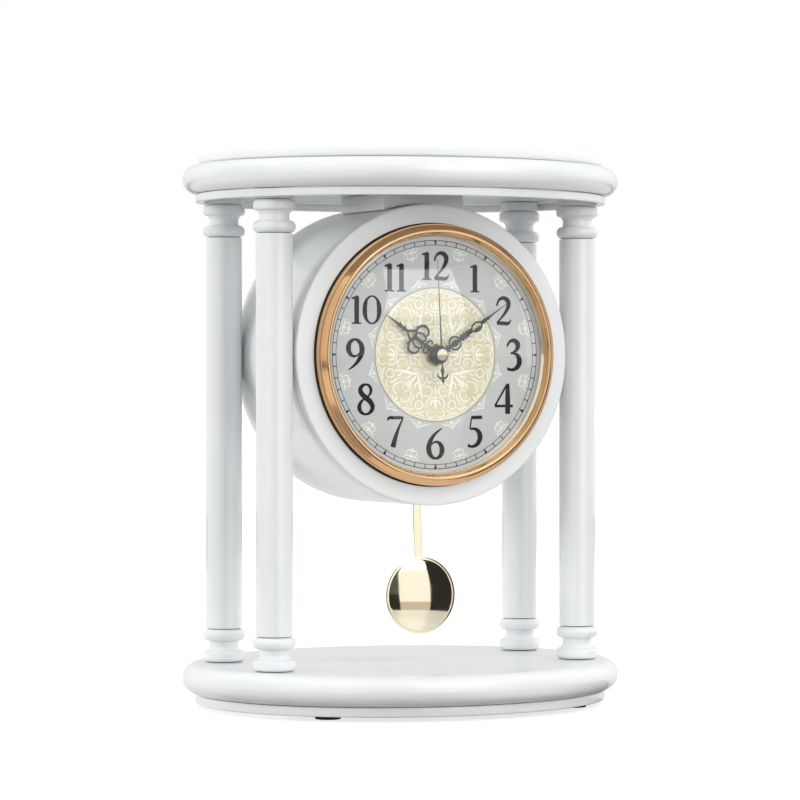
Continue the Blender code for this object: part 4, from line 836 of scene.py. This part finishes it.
def printed_marks(outline, top, count):
    shape = bmesh.new()
    shape.faces.new([shape.verts.new((x, y, print_bottom)) for x, y in outline])
    push_up(shape, top - print_bottom)
    repeat_round(shape, count)
    return shape


def join_shapes(*shapes):
    whole = bmesh.new()
    for shape in shapes:
        mesh = bpy.data.meshes.new("joined")
        shape.to_mesh(mesh)
        shape.free()
        whole.from_mesh(mesh)
        bpy.data.meshes.remove(mesh)
    return whole


ticks = printed_marks([(-tick_half, track_inner), (tick_half, track_inner),
                       (tick_half, track_outer), (-tick_half, track_outer)], tick_top, 60)
triangles = printed_marks([(0, track_inner - triangle_tip), (triangle_half, track_outer),
                           (-triangle_half, track_outer)], triangle_top, 12)
track = join_shapes(printed_ring(track_inner, line_half, print_height),
                    printed_ring(track_outer, outer_line_half, print_height), ticks, triangles)
finish_part("minute_track", track, dial_ink, on_dial)

# %% [markdown]
# ## The damask centre
# The middle of the dial is printed pale yellow with a lace of white scrolls, a common damask.
# One quarter of it is drawn: half of its strokes, their mirror image, and then spin with
# use_duplicate copies the quarter round the axis. Strokes print crisply at any distance, which a
# noise pattern doesn't. The strokes have few sides, because they are only a hair high.

# %% Damask centre
centre_yellow = new_finish("centre_yellow", (0.73, 0.69, 0.45), 0.5)
vary(centre_yellow, (260, 3), colours=((0.67, 0.63, 0.39), (0.79, 0.75, 0.51)),
     roughness=(0.42, 0.58))
damask_white = new_finish("damask_white", (0.95, 0.94, 0.83), 0.42)
vary(damask_white, (900, 2), colours=((0.93, 0.92, 0.80), (0.97, 0.96, 0.87)),
     roughness=(0.35, 0.5))

centre_radius, centre_bottom, centre_top = 42.1 * mm, -0.2 * mm, 0.02 * mm
disc = turned(ring_outline(bush_hole, centre_radius, centre_bottom, centre_top), drum_steps)
finish_part("yellow_centre", disc, centre_yellow, on_dial)
outline_half, outline_top = 0.13 * mm, 0.045 * mm
centre_line = printed_ring(centre_radius, outline_half, outline_top)
finish_part("centre_outline", centre_line, dial_ink, on_dial)

damask_side = mirrored([
    [(11.8, 11.8, 0.4), (11.8, 14.6, 0.8), (11.3, 18.0, 0.95), (10.5, 21.6, 0.8),
     (9.9, 25.0, 0.55), (9.6, 28.0, 0.3)],
    [(11.4, 16.6, 0.3), (13.8, 18.4, 0.55), (14.6, 21.4, 0.3)],
    [(10.8, 20.0, 0.3), (8.4, 18.9, 0.5), (7.0, 16.6, 0.25)],
    [(10.2, 23.4, 0.3), (12.6, 24.8, 0.5), (13.2, 27.4, 0.25)],
    [(5.4, 22.8, 0.9), (5.7, 22.8, 0.9)],
    [(8.4, 25.2, 0.25), (5.8, 26.4, 0.42), (2.9, 24.8, 0.45), (2.5, 21.7, 0.42),
     (5.0, 19.9, 0.36), (7.6, 20.7, 0.25)],
    [(0, 16.4, 0.25), (2.4, 14.4, 0.5), (3.6, 11.6, 0.3)],
    [(1.5, 9.6, 0.25), (4.2, 11.0, 0.5), (6.6, 10.2, 0.4), (7.2, 8.4, 0.25)],
    [(0, 18.4, 0.3), (2.0, 17.4, 0.45), (4.9, 17.2, 0.45), (6.1, 15.0, 0.34), (4.8, 13.7, 0.3)],
    [(8.6, 12.2, 0.3), (9.4, 14.4, 0.45), (8.2, 15.8, 0.3)],
    [(0.5, 28.4, 0.3), (2.5, 29.6, 0.8), (3.5, 32.0, 0.35)],
    [(0, 26.8, 0.3), (3.0, 27.2, 0.42), (5.8, 28.8, 0.42), (6.3, 31.6, 0.36), (5.0, 33.2, 0.3)],
    [(9.0, 31.4, 0.4), (10.0, 33.6, 0.4), (12.2, 34.2, 0.4), (14.0, 32.6, 0.4),
     (13.8, 30.2, 0.4), (11.8, 29.0, 0.4), (9.8, 29.6, 0.4), (9.0, 31.4, 0.4)],
    [(11.4, 31.6, 0.6), (11.6, 31.6, 0.6)],
    [(21.9, 25.4, 1.0), (22.1, 25.4, 1.0)],
    [(17.4, 22.0, 0.25), (17.2, 25.6, 0.42), (19.2, 28.8, 0.46), (22.8, 29.2, 0.42),
     (24.4, 27.2, 0.3)],
    [(14.6, 25.0, 0.25), (15.4, 27.4, 0.5), (16.8, 29.6, 0.4), (17.2, 32.0, 0.25)],
    [(0, 38.0, 0.3), (2.6, 39.6, 0.42), (5.5, 38.4, 0.42), (6.2, 36.2, 0.34), (4.6, 35.2, 0.3)],
    [(1.0, 36.0, 0.5), (1.5, 36.1, 0.5)],
    [(7.6, 38.8, 0.3), (10.4, 37.6, 0.46), (13.4, 36.8, 0.42), (15.8, 37.0, 0.3)],
    [(7.8, 35.0, 0.3), (9.4, 36.2, 0.4), (11.6, 36.0, 0.3)],
    [(15.2, 33.6, 0.3), (17.8, 34.4, 0.46), (20.6, 33.2, 0.42), (22.6, 33.4, 0.3)],
    [(19.2, 31.2, 0.5), (19.7, 31.3, 0.5)],
    [(24.8, 31.8, 0.3), (25.6, 30.2, 0.42), (27.4, 29.8, 0.3)],
    [(16.0, 18.6, 0.3), (17.8, 19.6, 0.42), (19.4, 22.6, 0.36), (21.6, 22.8, 0.3)],
])
damask_middle = [[(0, 9.0, 0.3), (0, 13.2, 0.8), (0, 16.2, 0.3)],
                 [(0, 19.6, 0.25), (0, 22.8, 0.7), (0, 25.4, 0.25)],
                 [(0, 27.8, 0.3), (0, 30.6, 1.15), (0, 34.2, 0.3)],
                 [(13.0, 13.0, 0.4), (16.2, 16.2, 1.0), (20.4, 20.4, 0.4)],
                 [(26.2, 26.2, 0.3), (27.6, 27.6, 0.75), (28.9, 28.9, 0.3)]]
damask = strokes(scaled(damask_side + damask_middle, mm), print_height, resolution=5,
                 roundness=0)
repeat_round(damask, 4)
lift(damask, centre_top)
rim_lace = strokes(scaled(mirrored([
    [(0, 41.2, 0.2), (0.9, 40.4, 0.24), (1.8, 41.2, 0.2)],
    [(0.9, 39.2, 0.34), (1.1, 39.2, 0.34)],
]), mm), print_height, resolution=4, roundness=0)
repeat_round(rim_lace, 64)
lift(rim_lace, centre_top)
rosette_radius, rosette_half = 8.4 * mm, 0.2 * mm
rosette = printed_ring(rosette_radius, rosette_half, print_height)
damask = join_shapes(damask, rim_lace, rosette)
finish_part("damask_scrolls", damask, damask_white, on_dial)

# %% [markdown]
# ## Sprigs on the silver ring
# Between the hours, small cream sprigs point in from the rim and out from the yellow centre.
# There are twelve of each, half an hour away from the numbers, so one pair is drawn upright,
# turned by half an hour and repeated.

# %% Sprigs
sprig_cream = new_finish("sprig_cream", (0.90, 0.90, 0.81), 0.45)
vary(sprig_cream, (500, 2), colours=((0.84, 0.85, 0.74), (0.95, 0.95, 0.88)))
rim_sprig = mirrored([
    [(0, 60.4, 0.12), (0.6, 61.8, 0.3), (0, 63.4, 0.16)],
    [(0, 63.2, 0.16), (1.5, 62.2, 0.3), (3.0, 62.6, 0.3), (3.6, 64.0, 0.22), (2.8, 65.0, 0.2)],
    [(0, 66.6, 0.2), (2.0, 65.8, 0.3), (4.0, 66.4, 0.32), (5.4, 67.6, 0.2)],
    [(1.2, 64.2, 0.45), (1.5, 64.5, 0.45)],
    [(4.8, 64.9, 0.34), (5.2, 65.2, 0.34)],
    [(0.6, 67.6, 0.2), (2.4, 67.8, 0.26), (3.6, 68.0, 0.16)],
]) + [[(0, 64.2, 0.2), (0, 65.6, 0.6), (0, 67.4, 0.2)]]
centre_sprig = mirrored([
    [(0, 48.6, 0.1), (0.9, 46.8, 0.34), (2.2, 45.6, 0.3), (2.0, 44.2, 0.2)],
    [(2.2, 45.4, 0.18), (4.0, 45.0, 0.32), (5.6, 43.9, 0.24), (6.8, 43.3, 0.16)],
    [(0.3, 44.6, 0.3), (1.0, 43.6, 0.36)],
    [(3.6, 43.4, 0.36), (4.0, 43.2, 0.36)],
]) + [[(0, 43.4, 0.2), (0, 44.8, 0.5), (0, 46.6, 0.16)]]
sprig_widening, half_hour = 1.35, math.radians(15)
sprigs = strokes(scaled(rim_sprig + centre_sprig, mm, sprig_widening), print_height,
                 resolution=5, roundness=0)
bmesh.ops.rotate(sprigs, verts=sprigs.verts, cent=(0, 0, 0),
                 matrix=Matrix.Rotation(half_hour, 3, "Z"))
repeat_round(sprigs, 12)
finish_part("cream_sprigs", sprigs, sprig_cream, on_dial)

# %% [markdown]
# ## Nut
# A hexagonal nut clamps the dial to the movement, nearly hidden by the hands' hubs. It starts
# as a cylinder of only six sides, its edges are bevelled, and a Boolean bores it.

# %% Nut
# The nut's brass is a dark brown, much darker than the brass of the cap and the pendulum.
dark_brass = new_finish("dark_brass", (0.30, 0.20, 0.14), 0.45, 0.9)
vary(dark_brass, (600, 4), colours=((0.20, 0.13, 0.10), (0.42, 0.29, 0.20)), roughness=(0.35, 0.55))


def upright_cylinder(radius, height, segments, middle):
    shape = bmesh.new()
    bmesh.ops.create_cone(shape, cap_ends=True, segments=segments, radius1=radius,
                          radius2=radius, depth=height)
    lift(shape, middle)
    return shape


nut_radius, nut_edge, nut_back, nut_front = 7.0 * mm, 0.3 * mm, 48.5 * mm, 50.7 * mm
drill_length = 20 * mm
nut = upright_cylinder(nut_radius, nut_front - nut_back, 6, (nut_front + nut_back) / 2)
bevel(nut, nut.edges, nut_edge, 2)
drill = upright_cylinder(bush_hole, drill_length, 48, nut_front)
finish_part("hex_nut", cut_away(nut, drill), dark_brass, face_place, "shaft_nut")

# %% [markdown]
# ## The hands
# The hands are pierced dark steel: the hour hand has paired loops round a stem, the minute
# hand two rings on a toothed waist, and the second hand an anchor on its tail. Each is drawn
# pointing up with the same swelling strokes as the numbers, then turned to its hour. Strokes
# suit them, because a fret-cut hand is nothing but bars of changing width.

# %% Hand finish and helper
dark_hands = new_finish("blued_steel", (0.055, 0.07, 0.075), 0.35, 0.75)
vary(dark_hands, (500, 4), colours=((0.04, 0.055, 0.06), (0.08, 0.095, 0.10)),
     roughness=(0.28, 0.45))
vary(dark_hands, (2500, 2), bump=0.006 * mm)
hand_thickness, hand_widening = 0.28 * mm, 1.12
hour_level, minute_level, second_level = 51.8 * mm, 54.6 * mm, 57.2 * mm
hub_radius, hub_half, hub_edge, hub_steps = 5.8 * mm, 0.3 * mm, 0.15 * mm, 64


def finish_hand(name, shape, angle, level, kind):
    place = face_place @ Matrix.Translation((0, 0, level)) @ Matrix.Rotation(-angle, 4, "Z")
    finish_part(name, shape, dark_hands, place, kind + "_hand", body=kind + "_train")


def hub(inner):
    return turned(ring_outline(inner, hub_radius, -hub_half, hub_half, hub_edge), hub_steps)

# %% [markdown]
# ## Hour hand
# From the tip back: a blade that swells to a node, a diamond opening, two loops beside the
# stem inside a pair of crescents, and a collar with two side curls at the hub. Only the right
# half of each pair is drawn, and the left half is its mirror image.

# %% Hour hand
hour_angle = math.radians(304.8)
hour_stem = [
    [(0, 42.7, 0.18), (0, 36.5, 0.62), (0, 33.0, 0.85), (0, 31.6, 1.25), (0, 30.2, 0.75),
     (0, 28.4, 1.2), (0, 26.8, 0.7), (0, 25.4, 0.9)],
    [(0, 20.8, 0.7), (0, 18.0, 0.55), (0, 13.0, 0.6), (0, 10.2, 1.1), (0, 8.0, 1.3),
     (0, 4.8, 1.5)],
    [(-1.9, 33.4, 0.25), (0, 32.0, 0.5), (1.9, 33.4, 0.25)],
]
hour_side = mirrored([
    [(0, 25.6, 0.6), (2.4, 23.0, 0.62), (3.8, 20.8, 0.8), (6.0, 21.6, 0.45), (6.7, 22.2, 0.2)],
    [(3.8, 20.8, 0.7), (1.8, 20.0, 0.5), (0, 20.4, 0.6)],
    [(2.5, 19.6, 0.5), (4.3, 17.3, 0.55), (4.4, 14.3, 0.6), (2.6, 12.2, 0.5),
     (0.9, 13.6, 0.45), (0.7, 16.6, 0.42), (1.3, 19.0, 0.45), (2.5, 19.6, 0.5)],
    [(3.8, 20.9, 0.6), (7.0, 20.4, 0.72), (9.3, 18.0, 0.85), (8.9, 14.8, 0.72),
     (6.6, 12.8, 0.6), (4.6, 13.3, 0.5)],
    [(0, 10.2, 0.8), (2.6, 10.2, 0.6), (4.3, 8.8, 0.55), (3.6, 7.2, 0.45), (2.6, 7.8, 0.3)],
    [(0.3, 28.4, 0.6), (1.6, 28.9, 0.35), (2.3, 29.6, 0.2)],
])
hour_strokes = strokes(scaled(hour_stem + hour_side, mm, hand_widening), hand_thickness)
hour_tube = 2.8 * mm
finish_hand("pierced_hour_hand", join_shapes(hour_strokes, hub(hour_tube)), hour_angle,
            hour_level, "hour")

# %% [markdown]
# ## Minute hand
# Two open rings on a slender stem, a toothed waist between them, small nubs at the collar and
# a long needle. The raised boss round its tube is spun.

# %% Minute hand
minute_angle = math.radians(55.6)
minute_paths = [
    [(0, 56.4, 0.16), (0, 47.0, 0.42), (0, 42.6, 0.6), (0, 41.0, 1.15), (0, 39.6, 0.7),
     (0, 38.0, 1.5), (0, 36.8, 1.0), (0, 35.6, 1.1)],
    [(0, 27.2, 1.0), (0, 25.8, 1.5), (0, 24.7, 1.1), (0, 23.6, 2.3), (0, 22.5, 1.4),
     (0, 21.4, 2.5), (0, 20.2, 1.4), (0, 19.0, 2.3), (0, 17.6, 1.3), (0, 16.2, 0.9)],
    [(0, 9.4, 0.9), (0, 8.0, 0.95), (0, 6.8, 1.2), (0, 5.0, 1.1), (0, 3.4, 1.2)],
    [(-2.6, 6.9, 0.45), (0, 6.8, 0.9), (2.6, 6.9, 0.45)],
    [(0, 35.3, 0.5), (1.9, 34.0, 0.55), (2.6, 31.3, 0.7), (1.8, 28.7, 0.55), (0, 27.3, 0.5),
     (-1.8, 28.7, 0.5), (-2.5, 31.3, 0.5), (-1.8, 34.0, 0.5), (0, 35.3, 0.5)],
    [(0, 16.9, 0.5), (3.0, 15.6, 0.55), (4.1, 12.9, 0.6), (3.0, 10.1, 0.55), (0, 8.8, 0.5),
     (-3.0, 10.1, 0.55), (-4.1, 12.9, 0.6), (-3.0, 15.6, 0.55), (0, 16.9, 0.5)],
    [(0, 16.0, 0.8), (0.2, 14.6, 1.6), (0.2, 12.8, 1.95), (0.1, 11.0, 1.5), (0, 9.6, 0.7)],
    [(1.0, 33.6, 0.5), (1.5, 31.4, 0.75), (0.9, 29.0, 0.5)],
]
minute_tube, boss_radius, boss_back, boss_front = 1.9 * mm, 3.2 * mm, 0.1 * mm, 1.2 * mm
boss = turned(ring_outline(minute_tube, boss_radius, boss_back, boss_front, 2 * hub_edge),
              hub_steps)
minute_strokes = strokes(scaled(minute_paths, mm, hand_widening), hand_thickness)
finish_hand("pierced_minute_hand", join_shapes(minute_strokes, hub(minute_tube), boss),
            minute_angle, minute_level, "minute")

# %% [markdown]
# ## Second hand and its cap
# The second hand is a thin needle whose tail ends in a small anchor. It points almost straight
# up. The domed cap in front of it is polished, and it hides the end of the arbor.

# %% Second hand and cap
second_angle = math.radians(-2.9)
second_paths = [
    [(0, 59.9, 0.18), (0, 30.0, 0.4), (0, 8.0, 0.58), (0, 0, 0.9), (0, -5.0, 0.5),
     (0, -8.0, 0.55), (0, -10.2, 1.5), (0, -12.2, 0.75), (0, -13.4, 0.6), (0, -14.6, 1.0),
     (0, -15.6, 0.7), (0, -16.6, 1.15), (0, -17.8, 0.35)],
] + mirrored([[(0, -15.0, 0.6), (1.9, -14.6, 0.62), (3.3, -13.2, 0.5), (3.6, -11.9, 0.2)]])
second_thickness = 0.19 * mm
second_hand = strokes(scaled(second_paths, mm), second_thickness)
finish_hand("anchor_second_hand", second_hand, second_angle, second_level, "second")

cap_radius, cap_bore, cap_back, cap_front = 3.7 * mm, 0.9 * mm, 57.7 * mm, 59.3 * mm
cap_ceiling = cap_front - 0.4 * mm
cap = turned([(0, cap_front, 0), (2.4 * mm, cap_front - 0.12 * mm, 1.0 * mm),
              (cap_radius, cap_front - 0.75 * mm, 0.4 * mm), (cap_radius, cap_back, 0.1 * mm),
              (cap_bore, cap_back, 0), (cap_bore, cap_ceiling, 0), (0, cap_ceiling, 0)],
             steps=64, closed=False)
finish_part("polished_cap", cap, pale_brass, face_place, "second_hand_cap", body="second_train")

# %% [markdown]
# ## The pendulum
# A flat brass rod hangs from the lever behind the movement and ends in a round bob with a
# flat rim and a domed front. The dome's outline is part of a large circle, spun from one vertex
# at its top, and that line is then spun round the bob's axis. The back has a shallow groove for
# the rod. The pendulum is drawn hanging straight down, and its matrix tilts it as
# in the photograph.

# %% Rod and bob
pendulum_joint = [joint for joint in frame["joints"] if joint["name"] == "pendulum_swing"][0]
pivot_height = pendulum_joint["pos_m"][2]
tilt = math.radians(2.07)
pendulum_place = (Matrix.Translation((0, 0, pivot_height))
                  @ Matrix.Rotation(math.radians(90), 4, "X") @ Matrix.Rotation(tilt, 4, "Z"))
bob_radius, bob_rim, bob_body, bob_rise = 24.5 * mm, 1.9 * mm, 2.6 * mm, 4.1 * mm
bob_drop, bob_back = 115.0 * mm, 17.3 * mm
rod_back, rod_thickness, rod_width = 17.6 * mm, 0.8 * mm, 5.4 * mm
rod_edge, rod_margin = 0.12 * mm, 0.2 * mm
groove_gap, groove_height = 0.3 * mm, 2 * mm
eye_radius, eye_drop = 1.5 * mm, 12.6 * mm

rim_front = bob_back + bob_body
dome_foot = bob_radius - bob_rim
bob = bmesh.new()
foot = dome_arc(bob, dome_foot, bob_rise, rim_front + bob_rise, 28)
rim_corners = [(dome_foot + 0.25 * mm, rim_front - 0.15 * mm),
               (bob_radius - 0.5 * mm, rim_front - 0.15 * mm),
               (bob_radius - 0.12 * mm, rim_front - 0.35 * mm),
               (bob_radius, rim_front - 0.7 * mm), (bob_radius, bob_back + 1.5 * mm),
               (bob_radius - 1.5 * mm, bob_back), (0, bob_back)]
for radius, height in rim_corners:
    corner = bob.verts.new((radius, 0, height))
    bob.edges.new((foot, corner))
    foot = corner
spin_outline(bob, 160)
bmesh.ops.translate(bob, vec=(0, -bob_drop, 0), verts=bob.verts)
groove = bmesh.new()
bmesh.ops.create_cube(groove, size=1)
bmesh.ops.scale(groove, vec=(rod_width + 2 * groove_gap, 2 * bob_radius, groove_height),
                verts=groove.verts)
groove_middle = rod_back + rod_thickness + groove_gap - groove_height / 2
bmesh.ops.translate(groove, vec=(0, bob_radius - bob_drop - groove_gap, groove_middle),
                    verts=groove.verts)
finish_part("domed_bob", cut_away(bob, groove), pale_brass, pendulum_place, "pendulum_bob",
            body="pendulum", sharp_angle=30)

# %% [markdown]
# The rod's outline is a long rectangle. Its two upper corners are rounded by a vertex bevel
# until they meet, and a circle makes the eye that hangs on the lever's peg.

# %% Rod
rod = bmesh.new()
half = rod_width / 2
outline = [rod.verts.new(place) for place in
           ((-half, -bob_drop, 0), (half, -bob_drop, 0), (half, half - eye_drop, 0),
            (-half, half - eye_drop, 0))]
for first, second in zip(outline, outline[1:] + outline[:1]):
    rod.edges.new((first, second))
bevel(rod, outline[2:], half * 0.999, 10, "VERTICES")
bmesh.ops.create_circle(rod, segments=32, radius=eye_radius,
                        matrix=Matrix.Translation((0, -eye_drop, 0)))
bmesh.ops.triangle_fill(rod, use_beauty=True, edges=rod.edges, normal=(0, 0, 1))
push_up(rod, rod_thickness)
corners = [line for line in level_edges(rod) if line.calc_face_angle(0) > 1]
bevel(rod, corners, rod_edge, 2, clamp=True)
inset_flats(rod, rod_margin)
finish_part("flat_rod", rod, pale_brass, pendulum_place @ Matrix.Translation((0, 0, rod_back)),
            "pendulum_rod", body="pendulum", sharp_angle=30)

# %% [markdown]
# ## Inside the drum
# Behind the cover is a quartz movement: a black plastic case with its battery, wheels, circuit
# board and coil. The CAD solids have the right shapes there, so they stay, and only get better
# finishes through their material slots.

# %% Finishes inside
black_plastic = new_finish("black_plastic", (0.02, 0.02, 0.021), 0.4)
vary(black_plastic, (1600, 3), colours=((0.014, 0.014, 0.015), (0.03, 0.03, 0.032)),
     roughness=(0.35, 0.55), bump=0.03 * mm)

white_plastic = new_finish("white_plastic", (0.74, 0.73, 0.70), 0.35)
vary(white_plastic, (300, 3), colours=((0.70, 0.69, 0.66), (0.78, 0.77, 0.74)),
     roughness=(0.3, 0.45))

battery_wrap = new_finish("battery_wrap", (0.1, 0.25, 0.12), 0.3)
vary(battery_wrap, (150, 3), colours=((0.06, 0.17, 0.08), (0.10, 0.24, 0.12)),
     roughness=(0.22, 0.4))

board_green = new_finish("board_green", (0.02, 0.11, 0.05), 0.4)
vary(board_green, (420, 1), colours=((0.015, 0.09, 0.04), (0.04, 0.16, 0.07)), bump=0.04 * mm,
     band=(0.48, 0.52))

copper_wire = new_finish("copper_wire", (0.72, 0.33, 0.17), 0.3, 1.0)
vary(copper_wire, (900, 1, (1, 0.05, 8)), colours=((0.50, 0.20, 0.09), (0.80, 0.42, 0.24)),
     bump=0.08 * mm)

finishes = {"white_lacquer": white_lacquer, "rose_gold": rose_gold, "pale_brass": pale_brass,
            "dark_hands": dark_hands, "satin_dial": satin_silver, "clear_glass": clear_glass,
            "steel": steel, "black_plastic": black_plastic, "white_plastic": white_plastic,
            "black_foam": black_foam, "battery_wrap": battery_wrap,
            "board_green": board_green, "copper_wire": copper_wire}
for node in frame["nodes"].values():
    for slot in node.material_slots:
        slot.material = finishes[slot.material.name.split(".")[0]]
print("CAD nodes with a finish:", len(frame["nodes"]))

# %% [markdown]
# ## Light
# The clock stands on a white table in a white room. The world is soft and even: the camera and
# mirrors see it pure white, and it lights the clock a little less brightly. Four large lamps
# add the shading, one of them high and three almost level with the clock. Reflections don't
# see the lamps, because cards are placed for them below.

# %% World and lamps
world = bpy.data.worlds.new("studio")
bpy.context.scene.world = world
world.use_nodes = True
room_white = (1, 1, 1, 1)
seen = set_inputs(world.node_tree.nodes["Background"], Color=room_white, Strength=1.0)
lighting = add_node(world, "Background", Color=room_white, Strength=0.92)
rays = add_node(world, "LightPath").outputs
either = math_node(world, "MAXIMUM", rays["Is Camera Ray"], rays["Is Glossy Ray"])
any_ray = math_node(world, "MAXIMUM", either, rays["Is Transmission Ray"])
show_mix(world, "World Output", any_ray, lighting.outputs["Background"],
         seen.outputs["Background"])
lamp_distance = 2.6
stage_middle = 0.2


def direction(azimuth, elevation):
    """Azimuth 0 is straight in front of the clock and grows to its right."""
    side, up = math.radians(azimuth), math.radians(elevation)
    return Vector((math.sin(side) * math.cos(up), -math.cos(side) * math.cos(up), math.sin(up)))


for name, azimuth, elevation, size, energy in (
        ("high_lamp", 33, 38, 1.3, 11), ("front_lamp", 6, 6, 1.4, 23),
        ("left_lamp", -108, 8, 1.4, 34), ("right_lamp", 112, 10, 1.6, 20)):
    lamp = bpy.data.objects.new(name, bpy.data.lights.new(name, "AREA"))
    bpy.context.scene.collection.objects.link(lamp)
    lamp.data.shape = "DISK"
    lamp.data.size = size
    lamp.data.energy = energy
    aim = Vector((0, 0, stage_middle))
    lamp.location = aim + direction(azimuth, elevation) * lamp_distance
    lamp.rotation_euler = (aim - lamp.location).to_track_quat("-Z", "Y").to_euler()
    lamp.visible_glossy = False
    lamp.visible_transmission = False
    print(name, "stands at", [round(value, 2) for value in lamp.location])

# %% [markdown]
# ## Floor, walls and cards
# Polished brass and lacquer need something to mirror. Walls, cards and strips of table stand
# and lie round the clock, each one an edge spun part of the way about it. They are switched off
# for the camera, for plain light and for shadows, so they change nothing but the reflections.
# Two cards are hooded, so that the top of the clock doesn't mirror them. The floor is a wide
# plane that camera rays see brighter than it's lit, which makes it white and keeps the clock's
# shadow.

# %% Floor, walls and cards
def glow(name, colour, strength):
    finish = bpy.data.materials.new(name)
    finish.use_nodes = True
    nodes = finish.node_tree.nodes
    nodes.remove(nodes["Principled BSDF"])
    emission = add_node(finish, "Emission", Color=(*colour, 1), Strength=strength)
    set_inputs(nodes["Material Output"], Surface=emission.outputs["Emission"])
    return finish


def hooded_glow(name, strength, depth=-0.12, height=0.346):
    """A white glow, hidden from what mirrors it from above a height, measured where the
    mirrored ray crosses the plane Y = depth."""
    finish = glow(name, (1, 1, 1), strength)
    place = add_node(finish, "NewGeometry").outputs
    point = add_node(finish, "SeparateXYZ", place["Position"]).outputs
    toward = add_node(finish, "SeparateXYZ", place["Incoming"]).outputs
    gap = math_node(finish, "SUBTRACT", depth, point["Y"])
    steps = math_node(finish, "DIVIDE", gap, toward["Y"])
    rise = math_node(finish, "MULTIPLY", toward["Z"], steps)
    crossing = math_node(finish, "ADD", rise, point["Z"])
    below = math_node(finish, "LESS_THAN", crossing, height)
    level = math_node(finish, "MULTIPLY", below, strength)
    set_inputs(finish.node_tree.nodes["Emission"], Strength=level)
    return finish


def stage_mesh(name, shape, finish, only_reflections=True):
    thing = as_object(name, shape)
    thing.data.materials.append(finish)
    if only_reflections:
        for ray in ("camera", "diffuse", "transmission", "volume_scatter", "shadow"):
            setattr(thing, "visible_" + ray, False)
    return thing


def spun_edge(name, ends, azimuths, steps, finish):
    """An edge spun about the clock from one azimuth to another."""
    shape = bmesh.new()
    outward = direction(azimuths[0], 0)
    corners = [shape.verts.new((*(outward.xy * radius), height)) for radius, height in ends]
    edge = shape.edges.new(corners)
    bmesh.ops.spin(shape, geom=[*corners, edge], cent=(0, 0, 0), axis=(0, 0, 1),
                   angle=math.radians(azimuths[1] - azimuths[0]), steps=steps)
    stage_mesh(name, shape, finish)


def height_at(radius, elevation):
    return stage_middle + radius * math.tan(math.radians(elevation))


wall_radius, wall_bottom, wall_top = 3.0, -0.3, 3.0
white = (1, 1, 1)
for name, azimuths, finish in (
        ("far_left_wall", (-130, -84), glow("far_left_shade", white, 0.04)),
        ("grey_wall", (-84, -32), glow("grey_shade", white, 0.8)),
        ("dim_wall", (-32, -4), glow("dim_shade", (1, 1, 0.9), 0.1)),
        ("dark_wall", (-4, 70), glow("wall_shade", (1, 0.9, 0.8), 0.03)),
        ("right_wall", (76, 135), glow("right_shade", white, 0.8)),
        ("back_wall", (135, 230), glow("back_shade", white, 0.78))):
    spun_edge(name, ((wall_radius, wall_bottom), (wall_radius, wall_top)), azimuths, 48, finish)

card_azimuths, card_radius, cream_radius = (-4, 35), 1.0, 2.6
card_heights = [(card_radius, height_at(card_radius, elevation)) for elevation in (18, 50)]
spun_edge("bright_card", card_heights, card_azimuths, 48, hooded_glow("card_glow", 2.9))
spun_edge("cream_card", ((cream_radius, 0.0), (cream_radius, height_at(cream_radius, 24))),
          card_azimuths, 48, hooded_glow("cream_glow", 1.05))

table_white = glow("table_white", white, 0.9)
strip_height = 0.5 * mm
for name, radii, azimuths, finish in (
        ("white_table_left", (0.42, 1.6), (-84, -31), table_white),
        ("shaded_table_left", (0.12, 0.42), (-84, -31), glow("table_shade", white, 0.4)),
        ("near_strip", (0.13, 0.4), card_azimuths, glow("near_glow", (1, 0.9, 0.77), 0.62)),
        ("far_strip", (0.4, 2.6), card_azimuths, glow("far_glow", white, 1.05))):
    spun_edge(name, [(radius, strip_height) for radius in radii], azimuths, 24, finish)


def flat_floor(name, low, high, height, finish, only_reflections=True):
    shape = bmesh.new()
    bmesh.ops.create_grid(shape, x_segments=1, y_segments=1, size=0.5)
    bmesh.ops.scale(shape, vec=(high[0] - low[0], high[1] - low[1], 1), verts=shape.verts)
    bmesh.ops.translate(shape, vec=((low[0] + high[0]) / 2, (low[1] + high[1]) / 2, height),
                        verts=shape.verts)
    return stage_mesh(name, shape, finish, only_reflections)


floor_finish = new_finish("floor_white", (0.3, 0.3, 0.3), 0.9, Emission_Color=room_white)
camera_ray = add_node(floor_finish, "LightPath").outputs["Is Camera Ray"]
set_inputs(shader_of(floor_finish),
           Emission_Strength=math_node(floor_finish, "MULTIPLY", camera_ray, 0.76))
floor_height, ground_height = -0.6 * mm, -1.0 * mm
wide_floor = flat_floor("wide_floor", (-40, -40), (40, 60), floor_height, floor_finish,
                        only_reflections=False)
wide_floor.visible_glossy = False
flat_floor("white_table", (-1.2, -0.05), (1.5, 1.5), 0.0, table_white)
flat_floor("dark_ground", (-3.5, -3.5), (3.5, 3.5), ground_height,
           glow("ground_shade", (1, 0.9, 0.8), 0.03))
bpy.context.scene.view_settings.view_transform = "Standard"
